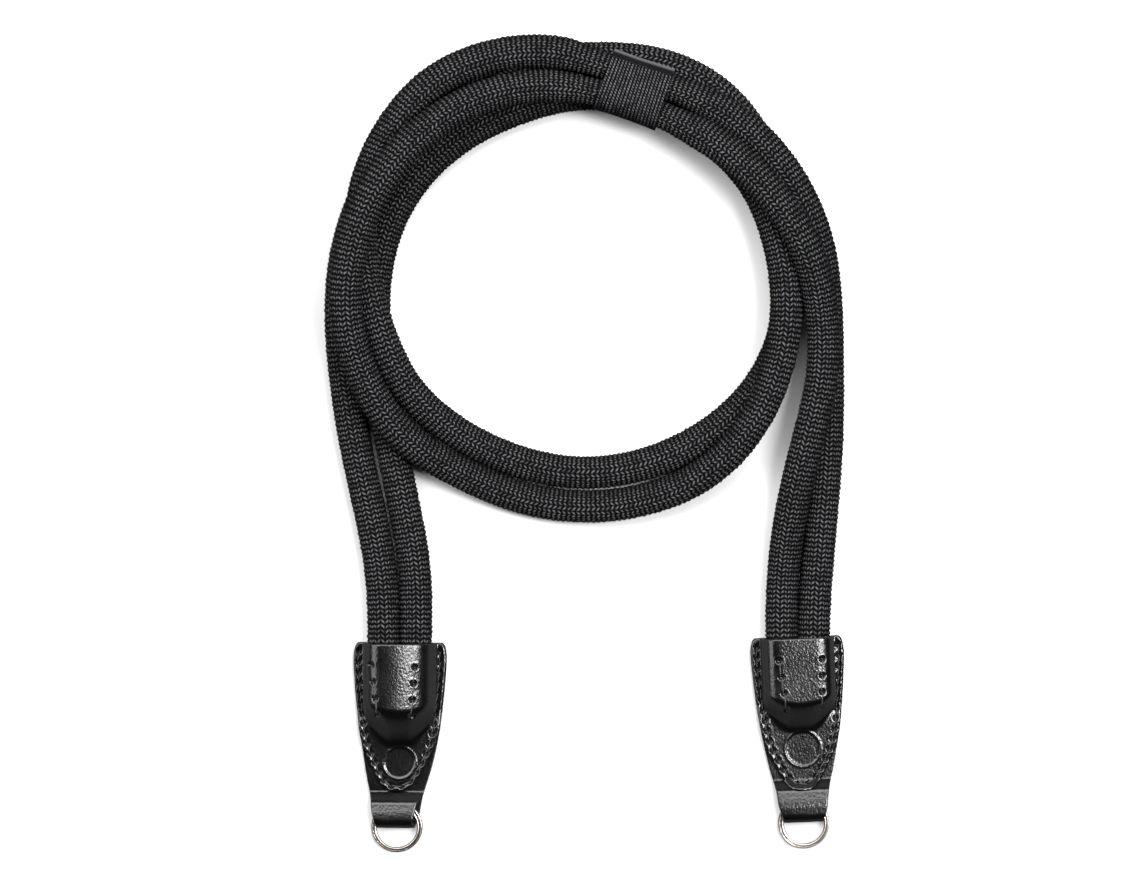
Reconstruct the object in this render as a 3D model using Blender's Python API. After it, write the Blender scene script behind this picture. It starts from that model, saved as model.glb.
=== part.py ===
"""Camera rope strap, laid down in one and a half turns, as separate closed solids.

Two soft braided ropes run side by side from one leather end to the other. Each leather end is a
back strap, folded round a split ring, and a front that is moulded over the two rope ends. A band
of webbing holds the ropes together at the top of the loop.
The strap lies on z = 0. X is to the right and Y away from the leather ends, seen from above.
"""
import math

import bmesh
import bpy
import numpy as np
from mathutils import Matrix, Vector

MM = 0.001

# Ropes
ROPE_DIAMETER = 9.5 * MM
ROPE_DIAMETER_IN_END = 9.0 * MM
ROPE_DIAMETER_IN_KEEPER = 8.0 * MM
ROPE_SPACING_IN_END = 9.6 * MM
ROPE_POINT_SPACING = 12.4 * MM
ROPE_POINT_SPACING_IN_KEEPER = 5.0 * MM
ROPE_SIDE_RESOLUTION = 4
ROPE_LINE_SAMPLES = 3000
SQUEEZE_RUN = 16.0 * MM
FIT_GAP = 0.3 * MM

# Leather ends
END_LENGTH = 56.2 * MM
END_WIDTH = 28.3 * MM
LEATHER_THICKNESS = 1.3 * MM
FRONT_LENGTH = 45.0 * MM
FRONT_FIT_SHARE = 0.97
DOME_LENGTH = 22.5 * MM
DOME_FADE_LENGTH = 8.5 * MM
DOME_NOSE_NARROWING = 0.4
FOOT_FILLET = 1.2 * MM
FLAP_LENGTH = 15.0 * MM
FLAP_SKIVED_THICKNESS = 0.5 * MM
FLAP_SKIVE_LENGTH = 4.5 * MM
FLAP_ROWS = 14
POCKET_SLOPE_LENGTH = 4.0 * MM
POCKET_CLEARANCE = 0.9 * MM
FRONT_CLIMB_LENGTH = 2.4 * MM
FOLD_RADIUS = 0.45 * MM
NECK_CLEARANCE = 0.95 * MM
LEAN_START = 30.0 * MM
FOLD_CORNER_STEPS = 4
FRONT_STATIONS = 32
DOME_ARC_STEPS = 5

# Split rings
RING_OUTER_DIAMETER = 15.6 * MM
RING_WIRE_WIDTH = 1.55 * MM
RING_WIRE_HEIGHT = 1.05 * MM
RING_TURN_GAP = 0.25 * MM
RING_STEP_ANGLE = math.radians(26.0)
RING_SEGMENTS_PER_TURN = 36

# Keeper band
KEEPER_WIDTH = 19.4 * MM
KEEPER_THICKNESS = 1.0 * MM
KEEPER_STATION = 671.2 * MM
KEEPER_SECTIONS = 5
KEEPER_ARC_STEPS = 7
KEEPER_SQUEEZE_HALF_RUN = 0.6 * KEEPER_WIDTH

# Where each leather end lies: the middle of its upper edge, its turn, how far its fold leans to
# the side, and how far the ring's centre lies to the side and past the fold
LEFT_END_ACROSS = -60.3 * MM
LEFT_END_ALONG = -57.9 * MM
LEFT_END_TURN = math.radians(-0.5)
LEFT_FOLD_LEAN = -0.9 * MM
LEFT_RING_SIDE_SHIFT = -0.5 * MM
LEFT_RING_SHIFT = -0.4 * MM
RIGHT_END_ACROSS = 60.1 * MM
RIGHT_END_ALONG = -56.2 * MM
RIGHT_END_TURN = math.radians(2.2)
RIGHT_FOLD_LEAN = 0.0 * MM
RIGHT_RING_SIDE_SHIFT = 0.0 * MM
RIGHT_RING_SHIFT = 0.3 * MM

# Half the width of a leather end, as a share of END_WIDTH / 2, at a share of END_LENGTH
END_OUTLINE = [
    # down   half width
    (0.000, 0.905),
    (0.010, 0.945),
    (0.026, 0.972),
    (0.052, 0.992),
    (0.095, 1.000),
    (0.180, 0.982),
    (0.285, 0.948),
    (0.390, 0.905),
    (0.520, 0.830),
    (0.640, 0.742),
    (0.750, 0.643),
    (0.850, 0.548),
    (0.930, 0.500),
    (0.950, 0.470),
]

# Half the width of a front's rounded tip, as a share of END_WIDTH / 2, at a share of FRONT_LENGTH
FRONT_TIP = [
    # down   half width
    (0.727, 0.749),
    (0.800, 0.640),
    (0.862, 0.530),
    (0.890, 0.475),
    (0.916, 0.415),
    (0.945, 0.345),
    (0.970, 0.270),
    (0.990, 0.180),
    (1.000, 0.090),
]

# The routes of the ropes' middles, in millimetres. The outer rope is the outer one of the two at
# both leather ends.
OUTER_ROPE_ROUTE = [
    (-65.3, -80.1, 6.2), (-65.2, -69.0, 6.2), (-65.1, -58.4, 6.1), (-66.2, -35.2, 4.9),
    (-69.9, -15.5, 4.9),
    (-74.0, 3.9, 4.9), (-77.0, 23.9, 4.9), (-78.2, 43.9, 4.9), (-75.8, 63.7, 4.9),
    (-68.4, 82.3, 4.9), (-56.0, 98.2, 4.9), (-39.7, 110.0, 4.9), (-21.0, 117.2, 4.9),
    (-1.2, 119.4, 4.9), (19.0, 117.4, 4.9), (36.5, 108.5, 4.9), (48.9, 92.4, 4.9),
    (55.3, 73.9, 4.9), (57.5, 54.2, 4.9), (55.5, 34.5, 4.9), (46.3, 17.1, 4.9),
    (31.4, 4.2, 4.9), (13.2, -3.8, 4.9), (-6.3, -6.2, 4.9), (-26.0, -2.3, 5.0),
    (-43.8, 6.5, 7.6), (-58.0, 19.8, 12.2), (-66.8, 38.5, 15.1), (-71.4, 58.4, 14.4),
    (-70.4, 78.6, 15.2), (-62.7, 96.8, 14.7), (-49.2, 111.6, 14.4), (-30.6, 119.4, 14.5),
    (-10.3, 119.8, 14.9), (9.2, 113.4, 14.7), (27.2, 107.4, 15.2), (44.2, 97.4, 15.2),
    (57.3, 82.3, 14.4), (65.6, 64.7, 9.6), (68.9, 45.2, 4.9), (69.4, 25.2, 4.9),
    (69.2, 5.2, 4.9), (67.9, -14.8, 4.9), (66.2, -34.8, 4.9), (65.0, -56.9, 6.1),
    (65.3, -67.0, 6.2), (65.8, -78.2, 6.2),
]
INNER_ROPE_ROUTE = [
    (-55.7, -80.1, 6.2), (-55.6, -69.0, 6.2), (-55.5, -58.4, 6.1), (-55.9, -35.5, 4.9),
    (-59.2, -15.8, 4.9),
    (-63.2, 3.9, 4.9), (-66.6, 23.3, 4.9), (-68.1, 43.3, 4.9), (-65.7, 63.0, 4.9),
    (-57.0, 81.0, 4.9), (-43.0, 94.7, 4.9), (-25.4, 103.7, 4.9), (-6.4, 108.4, 4.9),
    (13.1, 106.3, 4.9), (30.9, 96.9, 6.0), (45.5, 82.7, 11.9), (53.4, 65.2, 14.2),
    (56.3, 45.7, 15.0), (53.8, 26.2, 14.9), (45.8, 8.1, 13.6), (32.1, -6.3, 10.3),
    (14.6, -14.1, 6.2), (-5.4, -16.4, 4.9), (-25.0, -13.2, 5.2), (-43.2, -5.4, 8.2),
    (-59.7, 6.0, 14.0), (-70.5, 22.5, 17.6), (-75.6, 41.3, 22.0), (-73.8, 60.9, 24.3),
    (-66.6, 79.0, 25.1), (-54.4, 94.1, 22.8), (-37.8, 105.1, 19.4), (-18.9, 109.7, 17.2),
    (0.4, 107.6, 16.9), (18.9, 101.0, 17.4), (36.6, 91.3, 20.4), (50.9, 77.9, 23.1),
    (61.7, 61.4, 22.0), (66.7, 43.0, 16.5), (67.0, 23.2, 14.9), (62.9, 3.9, 13.4),
    (58.6, -15.4, 9.8), (56.0, -35.4, 5.4), (55.4, -56.9, 6.1), (55.7, -67.4, 6.2),
    (56.2, -78.6, 6.2),
]

# The places that the pieces share
NECK_WIDTH = RING_OUTER_DIAMETER - 2 * RING_WIRE_WIDTH - 2 * NECK_CLEARANCE
NECK_START = END_LENGTH - LEATHER_THICKNESS - FOLD_RADIUS
RING_HEIGHT = 2 * RING_WIRE_HEIGHT + RING_TURN_GAP
POCKET_HEIGHT = RING_HEIGHT + 2 * FIT_GAP
POCKET_START = END_LENGTH - RING_OUTER_DIAMETER / 2 - POCKET_CLEARANCE
FLAP_START = END_LENGTH - FLAP_LENGTH
FLAP_LEVEL = LEATHER_THICKNESS + POCKET_HEIGHT
ON_BACK_LEVEL = LEATHER_THICKNESS + FIT_GAP
ROPE_LEVEL_IN_END = ON_BACK_LEVEL + ROPE_DIAMETER_IN_END / 2


def remove_everything():
    """Empties the scene before the strap is modelled."""
    for old in list(bpy.data.objects):
        bpy.data.objects.remove(old, do_unlink=True)


def make_material(name, colour, roughness, metallic=0.0):
    """A plain Principled material."""
    material = bpy.data.materials.new(name)
    material.use_nodes = True
    shader = material.node_tree.nodes["Principled BSDF"]
    shader.inputs["Base Color"].default_value = (*colour, 1.0)
    shader.inputs["Roughness"].default_value = roughness
    shader.inputs["Metallic"].default_value = metallic
    return material


def smooth_step(value):
    """0 below 0, 1 above 1, and a smooth rise between."""
    share = min(max(value, 0.0), 1.0)
    return share * share * (3.0 - 2.0 * share)


def read_table(table, down):
    """The value of a two-column table at a place between its rows."""
    return float(np.interp(down, [row[0] for row in table], [row[1] for row in table]))


def natural_spline(places, values, wanted):
    """A smooth curve through the values, read at the wanted places."""
    count = len(places)
    spans = np.diff(places)
    matrix = np.zeros((count, count))
    right = np.zeros(count)
    matrix[0, 0] = 1.0
    matrix[-1, -1] = 1.0
    for k in range(1, count - 1):
        matrix[k, k - 1] = spans[k - 1]
        matrix[k, k] = 2 * (spans[k - 1] + spans[k])
        matrix[k, k + 1] = spans[k]
        rise_after = (values[k + 1] - values[k]) / spans[k]
        rise_before = (values[k] - values[k - 1]) / spans[k - 1]
        right[k] = 6 * (rise_after - rise_before)
    curvature = np.linalg.solve(matrix, right)
    span = np.clip(np.searchsorted(places, wanted) - 1, 0, count - 2)
    width = spans[span]
    before = (places[span + 1] - wanted) / width
    after = 1.0 - before
    bow = (before**3 - before) * curvature[span] + (after**3 - after) * curvature[span + 1]
    return before * values[span] + after * values[span + 1] + bow * width**2 / 6


def rope_line(route):
    """Closely spaced points along a rope's middle, and their distances from its start, in metres.

    The rope never sinks into the surface that it lies on.
    """
    points = np.array(route) * MM
    steps = np.linalg.norm(np.diff(points, axis=0), axis=1)
    places = np.concatenate([[0.0], np.cumsum(steps)])
    wanted = np.linspace(0.0, places[-1], ROPE_LINE_SAMPLES)
    line = np.stack([natural_spline(places, points[:, axis], wanted) for axis in range(3)], axis=1)
    line[:, 2] = np.maximum(line[:, 2], ROPE_DIAMETER / 2)
    steps = np.linalg.norm(np.diff(line, axis=0), axis=1)
    return line, np.concatenate([[0.0], np.cumsum(steps)])


def point_at(line, lengths, length):
    """The point of a line at a distance from its start."""
    return Vector([float(np.interp(length, lengths, line[:, axis])) for axis in range(3)])


def station_beside(line, lengths, point, after):
    """The distance along a line, past a given one, at which it comes nearest to a point."""
    away = np.linalg.norm(line - np.array(point), axis=1)
    away[lengths < after] = np.inf
    return float(lengths[int(np.argmin(away))])


def squeeze(length, middle, half_run, narrow):
    """How much a rope is narrowed at a distance along it: 1 is its free diameter."""
    away = abs(length - middle) - half_run
    return 1.0 - (1.0 - narrow) * (1.0 - smooth_step(away / SQUEEZE_RUN))


def even_places(start, end, spacing):
    """Evenly spaced places from start to end, about as far apart as the spacing."""
    return list(np.linspace(start, end, round((end - start) / spacing) + 1))


def tube_places(total, keeper_station):
    """The distances along a rope at which its tube has a point, closer together in the keeper."""
    keeper_start = keeper_station - KEEPER_WIDTH / 2
    keeper_end = keeper_station + KEEPER_WIDTH / 2
    before = even_places(0.0, keeper_start, ROPE_POINT_SPACING)
    inside = even_places(keeper_start, keeper_end, ROPE_POINT_SPACING_IN_KEEPER)
    after = even_places(keeper_end, total, ROPE_POINT_SPACING)
    return before[:-1] + inside + after[1:]


def add_rope(name, route, keeper_station, material):
    """A rope as a tube along its route, narrower in the leather ends and in the keeper."""
    line, lengths = rope_line(route)
    total = lengths[-1]
    places = tube_places(total, keeper_station)
    in_keeper = ROPE_DIAMETER_IN_KEEPER / ROPE_DIAMETER
    in_end = ROPE_DIAMETER_IN_END / ROPE_DIAMETER
    curve = bpy.data.curves.new(name, "CURVE")
    curve.dimensions = "3D"
    curve.bevel_depth = ROPE_DIAMETER / 2
    curve.bevel_resolution = ROPE_SIDE_RESOLUTION
    curve.use_fill_caps = True
    spline = curve.splines.new("POLY")
    spline.points.add(len(places) - 1)
    for point, length in zip(spline.points, places):
        point.co = (*point_at(line, lengths, length), 1.0)
        factors = [
            squeeze(length, keeper_station, KEEPER_SQUEEZE_HALF_RUN, in_keeper),
            squeeze(length, 0.0, DOME_LENGTH, in_end),
            squeeze(length, total, DOME_LENGTH, in_end),
        ]
        point.radius = min(factors)
    curve.materials.append(material)
    rope = bpy.data.objects.new(name, curve)
    bpy.context.collection.objects.link(rope)
    return rope


def finish_mesh(name, mesh_data, material):
    """Turns a bmesh into an object with outward faces and smooth shading."""
    bmesh.ops.recalc_face_normals(mesh_data, faces=mesh_data.faces)
    mesh = bpy.data.meshes.new(name)
    mesh_data.to_mesh(mesh)
    mesh_data.free()
    mesh.shade_smooth()
    mesh.set_sharp_from_angle(angle=math.radians(40.0))
    mesh.materials.append(material)
    piece = bpy.data.objects.new(name, mesh)
    bpy.context.collection.objects.link(piece)
    return piece


def loft(sections, closed_run=False, strip_caps=False):
    """Joins rings of points into one skin.

    A run of sections that isn't closed gets an end face each: one face, or with strip_caps a row
    of faces between the first half of the ring and the second half.
    """
    skin = bmesh.new()
    rings = [[skin.verts.new(point) for point in section] for section in sections]
    count = len(rings[0])
    last = len(rings) if closed_run else len(rings) - 1
    for k in range(last):
        here = rings[k]
        there = rings[(k + 1) % len(rings)]
        for i in range(count):
            j = (i + 1) % count
            skin.faces.new((here[i], here[j], there[j], there[i]))
    if closed_run:
        return skin
    for ring in (rings[0], rings[-1]):
        if strip_caps:
            for i in range(count // 2 - 1):
                skin.faces.new((ring[i], ring[i + 1], ring[count - 2 - i], ring[count - 1 - i]))
        else:
            skin.faces.new(ring)
    return skin


def end_half_width(down):
    """Half the width of the leather outline at a distance below the upper edge.

    The last stretch is the neck, which is folded through the ring's eye.
    """
    table = [(share * END_LENGTH, width * END_WIDTH / 2) for share, width in END_OUTLINE]
    return read_table(table + [(NECK_START, NECK_WIDTH / 2)], down)


def front_half_width(down):
    """Half the width of a front, which leaves the outline for its own rounded tip."""
    tip_start = FRONT_TIP[0][0] * FRONT_LENGTH
    outline = end_half_width(down)
    if down <= tip_start:
        return outline
    return min(outline, read_table(FRONT_TIP, down / FRONT_LENGTH) * END_WIDTH / 2)


def flap_thickness(down):
    """The flap's thickness at a distance below the upper edge; its end is skived thin."""
    share = smooth_step((down - FLAP_START) / FLAP_SKIVE_LENGTH)
    return FLAP_SKIVED_THICKNESS + share * (LEATHER_THICKNESS - FLAP_SKIVED_THICKNESS)


def flap_underside(down):
    """Level of the flap's lower face, which rises from the back strap over the ring."""
    share = smooth_step((down - POCKET_START + POCKET_SLOPE_LENGTH) / POCKET_SLOPE_LENGTH)
    return ON_BACK_LEVEL + share * (FLAP_LEVEL - ON_BACK_LEVEL)


def front_underside(down):
    """Level of a front's flat rim, which climbs over the skived end of the flap."""
    over_flap = max(down, FLAP_START)
    level = flap_underside(over_flap) + flap_thickness(over_flap) + FIT_GAP
    climb = smooth_step((down - FLAP_START + FRONT_CLIMB_LENGTH) / FRONT_CLIMB_LENGTH)
    return ON_BACK_LEVEL + climb * (level - ON_BACK_LEVEL)


def dome_section(wall):
    """Half of the dome's profile round the two ropes, from its foot to the middle.

    wall is 0 for the inner face and the leather's thickness for the outer one. The points are
    distances across from the middle and heights above the flat rim.
    """
    radius = ROPE_DIAMETER_IN_END / 2 + FIT_GAP + wall
    arc_middle = ROPE_SPACING_IN_END / 2
    level = ROPE_LEVEL_IN_END - ON_BACK_LEVEL - wall
    foot = arc_middle + radius
    points = [(foot + FOOT_FILLET, 0.0), (foot, FOOT_FILLET)]
    for k in range(DOME_ARC_STEPS + 1):
        angle = math.radians(90.0) * k / DOME_ARC_STEPS
        points.append((arc_middle + radius * math.cos(angle), level + radius * math.sin(angle)))
    return points


def front_section(down):
    """One closed ring of points round a front's wall, at a distance below the upper edge."""
    half_width = front_half_width(down)
    past_ropes = smooth_step((down - DOME_LENGTH) / DOME_FADE_LENGTH)
    height_share = 1.0 - past_ropes
    narrow = 1.0 - DOME_NOSE_NARROWING * past_ropes
    base = front_underside(down)
    faces = []
    for wall in (LEATHER_THICKNESS, 0.0):
        half = [(half_width, 0.0)]
        widest = dome_section(LEATHER_THICKNESS)[0][0]
        fit = min(narrow, FRONT_FIT_SHARE * half_width / widest)
        half += [(across * fit, up * height_share) for across, up in dome_section(wall)]
        left = [Vector((-across, -down, base + wall + up)) for across, up in half]
        right = [Vector((across, -down, base + wall + up)) for across, up in reversed(half)]
        faces.append(left + right)
    return faces[0] + list(reversed(faces[1]))


def front_stations():
    """The distances below the upper edge at which a front gets a section."""
    tip_rows = [row[0] * FRONT_LENGTH for row in FRONT_TIP]
    upper_rows = [row[0] * END_LENGTH for row in END_OUTLINE[:4]]
    count = FRONT_STATIONS - len(tip_rows) - len(upper_rows)
    between = np.linspace(upper_rows[-1], tip_rows[0], count + 2)[1:-1]
    return upper_rows + list(between) + tip_rows


def lean_over(sections, lean):
    """Shifts sections of leather to the side, more and more towards the fold."""
    for section in sections:
        for point in section:
            point.x += lean * smooth_step((-point.y - LEAN_START) / (NECK_START - LEAN_START))
    return sections


def add_front(name, lean, material):
    """The front leather, moulded over the two rope ends and flat round them."""
    sections = lean_over([front_section(down) for down in front_stations()], lean)
    return finish_mesh(name, loft(sections, strip_caps=True), material)


def back_path():
    """The middle of the back strap's thickness, seen from the side, from end to end.

    Each row has the distance below the upper edge, the level, the direction across the
    thickness as an angle, and the thickness.
    """
    half = LEATHER_THICKNESS / 2
    bend = FOLD_RADIUS + half
    flap_level = FLAP_LEVEL + half
    rows = []
    for share, _ in END_OUTLINE:
        rows.append((share * END_LENGTH, half, math.radians(90.0), LEATHER_THICKNESS))
    corner_levels = [(half + bend, -90.0), (flap_level - bend, 0.0)]
    for level, first in corner_levels:
        for k in range(FOLD_CORNER_STEPS + 1):
            angle = math.radians(first + 90.0 * k / FOLD_CORNER_STEPS)
            down = NECK_START + bend * math.cos(angle)
            up = level + bend * math.sin(angle)
            rows.append((down, up, angle + math.pi, LEATHER_THICKNESS))
    return rows + flap_rows()


def flap_rows():
    """The rows of the flap, from the fold back over the ring and down onto the back strap."""
    rows = []
    for down in np.linspace(NECK_START, FLAP_START, FLAP_ROWS + 1)[1:]:
        thickness = flap_thickness(down)
        level = flap_underside(down) + thickness / 2
        rows.append((down, level, math.radians(-90.0), thickness))
    return rows


def back_section(row):
    """One ring of four corners across the back strap."""
    down, level, angle, thickness = row
    half_width = end_half_width(down)
    lean = Vector((0.0, -math.cos(angle), math.sin(angle))) * thickness / 2
    middle = Vector((0.0, -down, level))
    side = Vector((half_width, 0.0, 0.0))
    return [middle - side + lean, middle + side + lean, middle + side - lean, middle - side - lean]


def add_back(name, lean, material):
    """The back strap, which folds round the ring and returns as a flap under the front's tip."""
    sections = lean_over([back_section(row) for row in back_path()], lean)
    return finish_mesh(name, loft(sections), material)


def ring_section(angle, level):
    """The wire's flattened six-sided section at an angle round the ring."""
    half_width = RING_WIRE_WIDTH / 2
    half_height = RING_WIRE_HEIGHT / 2
    middle = RING_OUTER_DIAMETER / 2 - half_width
    flat = half_width - half_height / math.sqrt(3.0)
    shape = [(half_width, 0.0), (flat, half_height), (-flat, half_height)]
    shape += [(-across, -up) for across, up in shape]
    ring = []
    for across, up in shape:
        radius = middle + across
        ring.append(Vector((radius * math.cos(angle), radius * math.sin(angle), level + up)))
    return ring


def add_split_ring(name, material):
    """Two flat turns of wire, joined by a short step from the lower turn to the upper one."""
    rise = RING_WIRE_HEIGHT + RING_TURN_GAP
    full_turn = 2 * math.pi
    sections = []
    for angle in np.linspace(0.0, 2 * full_turn - RING_STEP_ANGLE, 2 * RING_SEGMENTS_PER_TURN + 1):
        climbed = smooth_step((angle - full_turn + RING_STEP_ANGLE) / RING_STEP_ANGLE)
        sections.append(ring_section(angle, (climbed - 0.5) * rise))
    return finish_mesh(name, loft(sections), material)


def keeper_section(first, second, along, wall):
    """The band's rounded outline round two rope middles, square to the ropes.

    wall is 0 for the inner face and the band's thickness for the outer one.
    """
    across = second - first
    across -= along * across.dot(along)
    across.normalize()
    up = along.cross(across)
    radius = ROPE_DIAMETER_IN_KEEPER / 2 + FIT_GAP + wall
    outline = []
    for middle, start in ((second, -90.0), (first, 90.0)):
        for k in range(KEEPER_ARC_STEPS + 1):
            angle = math.radians(start + 180.0 * k / KEEPER_ARC_STEPS)
            outline.append(middle + (across * math.cos(angle) + up * math.sin(angle)) * radius)
    return outline


def add_keeper(name, material):
    """The webbing band, a sleeve that follows the two ropes of the upper pass."""
    outer_line, outer_lengths = rope_line(OUTER_ROPE_ROUTE)
    inner_line, inner_lengths = rope_line(INNER_ROPE_ROUTE)
    skins = []
    for wall in (KEEPER_THICKNESS, 0.0):
        rings = []
        for k in range(KEEPER_SECTIONS):
            length = KEEPER_STATION + (k / (KEEPER_SECTIONS - 1) - 0.5) * KEEPER_WIDTH
            first = point_at(outer_line, outer_lengths, length)
            beside = station_beside(inner_line, inner_lengths, first, inner_lengths[-1] / 2)
            second = point_at(inner_line, inner_lengths, beside)
            ahead = point_at(outer_line, outer_lengths, length + KEEPER_THICKNESS)
            rings.append(keeper_section(first, second, (ahead - first).normalized(), wall))
        skins.append(rings)
    sections = skins[0] + list(reversed(skins[1]))
    return finish_mesh(name, loft(sections, closed_run=True), material)


def keeper_station_on_inner_rope():
    """Where the inner rope passes through the keeper."""
    outer_line, outer_lengths = rope_line(OUTER_ROPE_ROUTE)
    inner_line, inner_lengths = rope_line(INNER_ROPE_ROUTE)
    middle = point_at(outer_line, outer_lengths, KEEPER_STATION)
    return station_beside(inner_line, inner_lengths, middle, inner_lengths[-1] / 2)


def add_leather_end(side, place, turn, lean, ring_shift, leather, steel):
    """A whole leather end: back strap, moulded front and split ring, on one turned empty."""
    pivot = bpy.data.objects.new(side + "_end_place", None)
    bpy.context.collection.objects.link(pivot)
    pivot.location = place
    pivot.rotation_euler = (0.0, 0.0, turn)
    back = add_back(side + "_end_back", lean, leather)
    front = add_front(side + "_end_front", lean, leather)
    ring = add_split_ring(side + "_split_ring", steel)
    ring.location = ring_shift + Vector((0.0, -END_LENGTH, LEATHER_THICKNESS + POCKET_HEIGHT / 2))
    for piece in (back, front, ring):
        piece.parent = pivot
    return pivot


def build_strap():
    """Models every piece of the strap."""
    remove_everything()
    rope = make_material("braided_rope", (0.012, 0.012, 0.013), 0.72)
    webbing = make_material("keeper_webbing", (0.016, 0.016, 0.017), 0.68)
    leather = make_material("smooth_leather", (0.008, 0.008, 0.008), 0.32)
    steel = make_material("ring_steel", (0.42, 0.40, 0.37), 0.28, 1.0)
    add_rope("outer_rope", OUTER_ROPE_ROUTE, KEEPER_STATION, rope)
    add_rope("inner_rope", INNER_ROPE_ROUTE, keeper_station_on_inner_rope(), rope)
    add_keeper("keeper_band", webbing)
    place = Vector((LEFT_END_ACROSS, LEFT_END_ALONG, 0.0))
    ring_shift = Vector((LEFT_RING_SIDE_SHIFT, -LEFT_RING_SHIFT, 0.0))
    add_leather_end("left", place, LEFT_END_TURN, LEFT_FOLD_LEAN, ring_shift, leather, steel)
    place = Vector((RIGHT_END_ACROSS, RIGHT_END_ALONG, 0.0))
    ring_shift = Vector((RIGHT_RING_SIDE_SHIFT, -RIGHT_RING_SHIFT, 0.0))
    add_leather_end("right", place, RIGHT_END_TURN, RIGHT_FOLD_LEAN, ring_shift, leather, steel)


build_strap()
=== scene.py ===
"""Camera rope strap, dressed for its picture.

Two soft braided nylon ropes lie in one and a half turns. At each end they run into a moulded
leather end that holds a split ring, and a webbing keeper binds them at the top of the loop.
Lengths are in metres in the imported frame's axes: Z is up from the table, and Y runs from the
leather ends towards the top of the loop.
"""
from __future__ import annotations

import logging
import math
from dataclasses import dataclass, field
from enum import Enum

import bpy
import numpy as np
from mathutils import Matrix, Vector

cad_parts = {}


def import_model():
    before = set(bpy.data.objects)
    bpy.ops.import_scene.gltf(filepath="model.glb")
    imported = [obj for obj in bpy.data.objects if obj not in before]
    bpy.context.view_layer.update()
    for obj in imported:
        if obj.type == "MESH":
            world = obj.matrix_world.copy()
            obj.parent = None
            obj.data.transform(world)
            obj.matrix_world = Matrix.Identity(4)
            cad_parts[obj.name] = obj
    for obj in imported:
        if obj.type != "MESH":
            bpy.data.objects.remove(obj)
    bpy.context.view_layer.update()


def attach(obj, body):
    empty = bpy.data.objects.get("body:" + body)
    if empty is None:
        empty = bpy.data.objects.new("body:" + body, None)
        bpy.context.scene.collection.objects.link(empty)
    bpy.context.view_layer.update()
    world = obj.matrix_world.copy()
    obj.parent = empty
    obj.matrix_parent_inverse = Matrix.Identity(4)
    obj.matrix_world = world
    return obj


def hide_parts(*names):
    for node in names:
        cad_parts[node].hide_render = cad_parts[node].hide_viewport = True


log = logging.getLogger("rope_strap")

MM = 0.001
BODY = "root"
PATTERN = "pattern"

Point = tuple[float, float, float]


class Slot(Enum):
    """The record's material slots."""

    ROPE = "rope"
    WEBBING = "webbing"
    LEATHER = "leather"
    RING_STEEL = "ring_steel"


def linear(hex_colour: str) -> tuple[float, float, float, float]:
    """Turns an sRGB colour to the linear one that shaders take.

    Args:
        hex_colour: The colour as "#rrggbb".

    Returns:
        Red, green, blue and a full alpha, from 0 to 1.
    """
    channels = [int(hex_colour[i:i + 2], 16) / 255 for i in (1, 3, 5)]
    red, green, blue = [c / 12.92 if c <= 0.04045 else ((c + 0.055) / 1.055) ** 2.4 for c in channels]
    return red, green, blue, 1.0


def add_node(
    tree: bpy.types.NodeTree,
    kind: str,
    settings: dict[str | int, object] | None = None,
    links: dict[str | int, bpy.types.Node | bpy.types.NodeSocket] | None = None,
) -> bpy.types.Node:
    """Adds a node with its settings and the links that feed it.

    Args:
        tree: The node tree that takes the node.
        kind: Blender's name of the node's type, after the ShaderNode that they all start with.
        settings: Values by the name or number of an input, or by the name of a property.
        links: What feeds an input, by its name or number: a socket, or a node's first output.

    Returns:
        The new node.
    """
    node = tree.nodes.new("ShaderNode" + kind)
    for name, value in (settings or {}).items():
        if isinstance(name, int) or name in node.inputs:
            node.inputs[name].default_value = value
        else:
            setattr(node, name, value)
    for name, source in (links or {}).items():
        output = source.outputs[0] if isinstance(source, bpy.types.Node) else source
        tree.links.new(output, node.inputs[name])
    return node


def smooth_step(value: np.ndarray | float) -> np.ndarray | float:
    """0 below 0, 1 above 1, and a rise between them that starts and ends level."""
    share = np.clip(value, 0.0, 1.0)
    return share * share * (3.0 - 2.0 * share)


def gentle_step(value: np.ndarray | float) -> np.ndarray | float:
    """0 below 0, 1 above 1, and a rise between them that starts and ends without a bend."""
    share = np.clip(value, 0.0, 1.0)
    return share**3 * (share * (6.0 * share - 15.0) + 10.0)


def rounded_ramp(value: np.ndarray, rounding: float) -> np.ndarray:
    """0 below 0, 1 above 1, and straight between, with both corners rounded off."""
    shifts = np.linspace(-rounding, rounding, 9)
    return np.clip(np.asarray(value)[..., None] - shifts, 0.0, 1.0).mean(axis=-1)


def rounded_over(depth: np.ndarray) -> np.ndarray:
    """How far a round edge drops: 0 at depth 0 and below, and 1 at depth 1, along a quarter circle."""
    return 1.0 - np.sqrt(1.0 - np.clip(depth, 0.0, 1.0) ** 2)


def ridge(away: np.ndarray, width: float) -> np.ndarray:
    """A bell shape: 1 where the distance is 0, and next to nothing at twice its width."""
    return np.exp(-((away / width) ** 2))


def run_along(line: np.ndarray) -> np.ndarray:
    """The distance of each of a line's points from its first, along the line."""
    return np.concatenate([[0.0], np.cumsum(np.linalg.norm(np.diff(line, axis=0), axis=1))])


def spread(line: np.ndarray, count: int) -> np.ndarray:
    """Puts points at even distances along a line.

    Args:
        line: The line's points, in rows.
        count: How many points are wanted.

    Returns:
        The new points, in rows, with both ends of the line among them.
    """
    run = run_along(line)
    marks = np.linspace(0.0, run[-1], count)
    return np.stack([np.interp(marks, run, line[:, k]) for k in range(line.shape[1])], axis=1)


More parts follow.
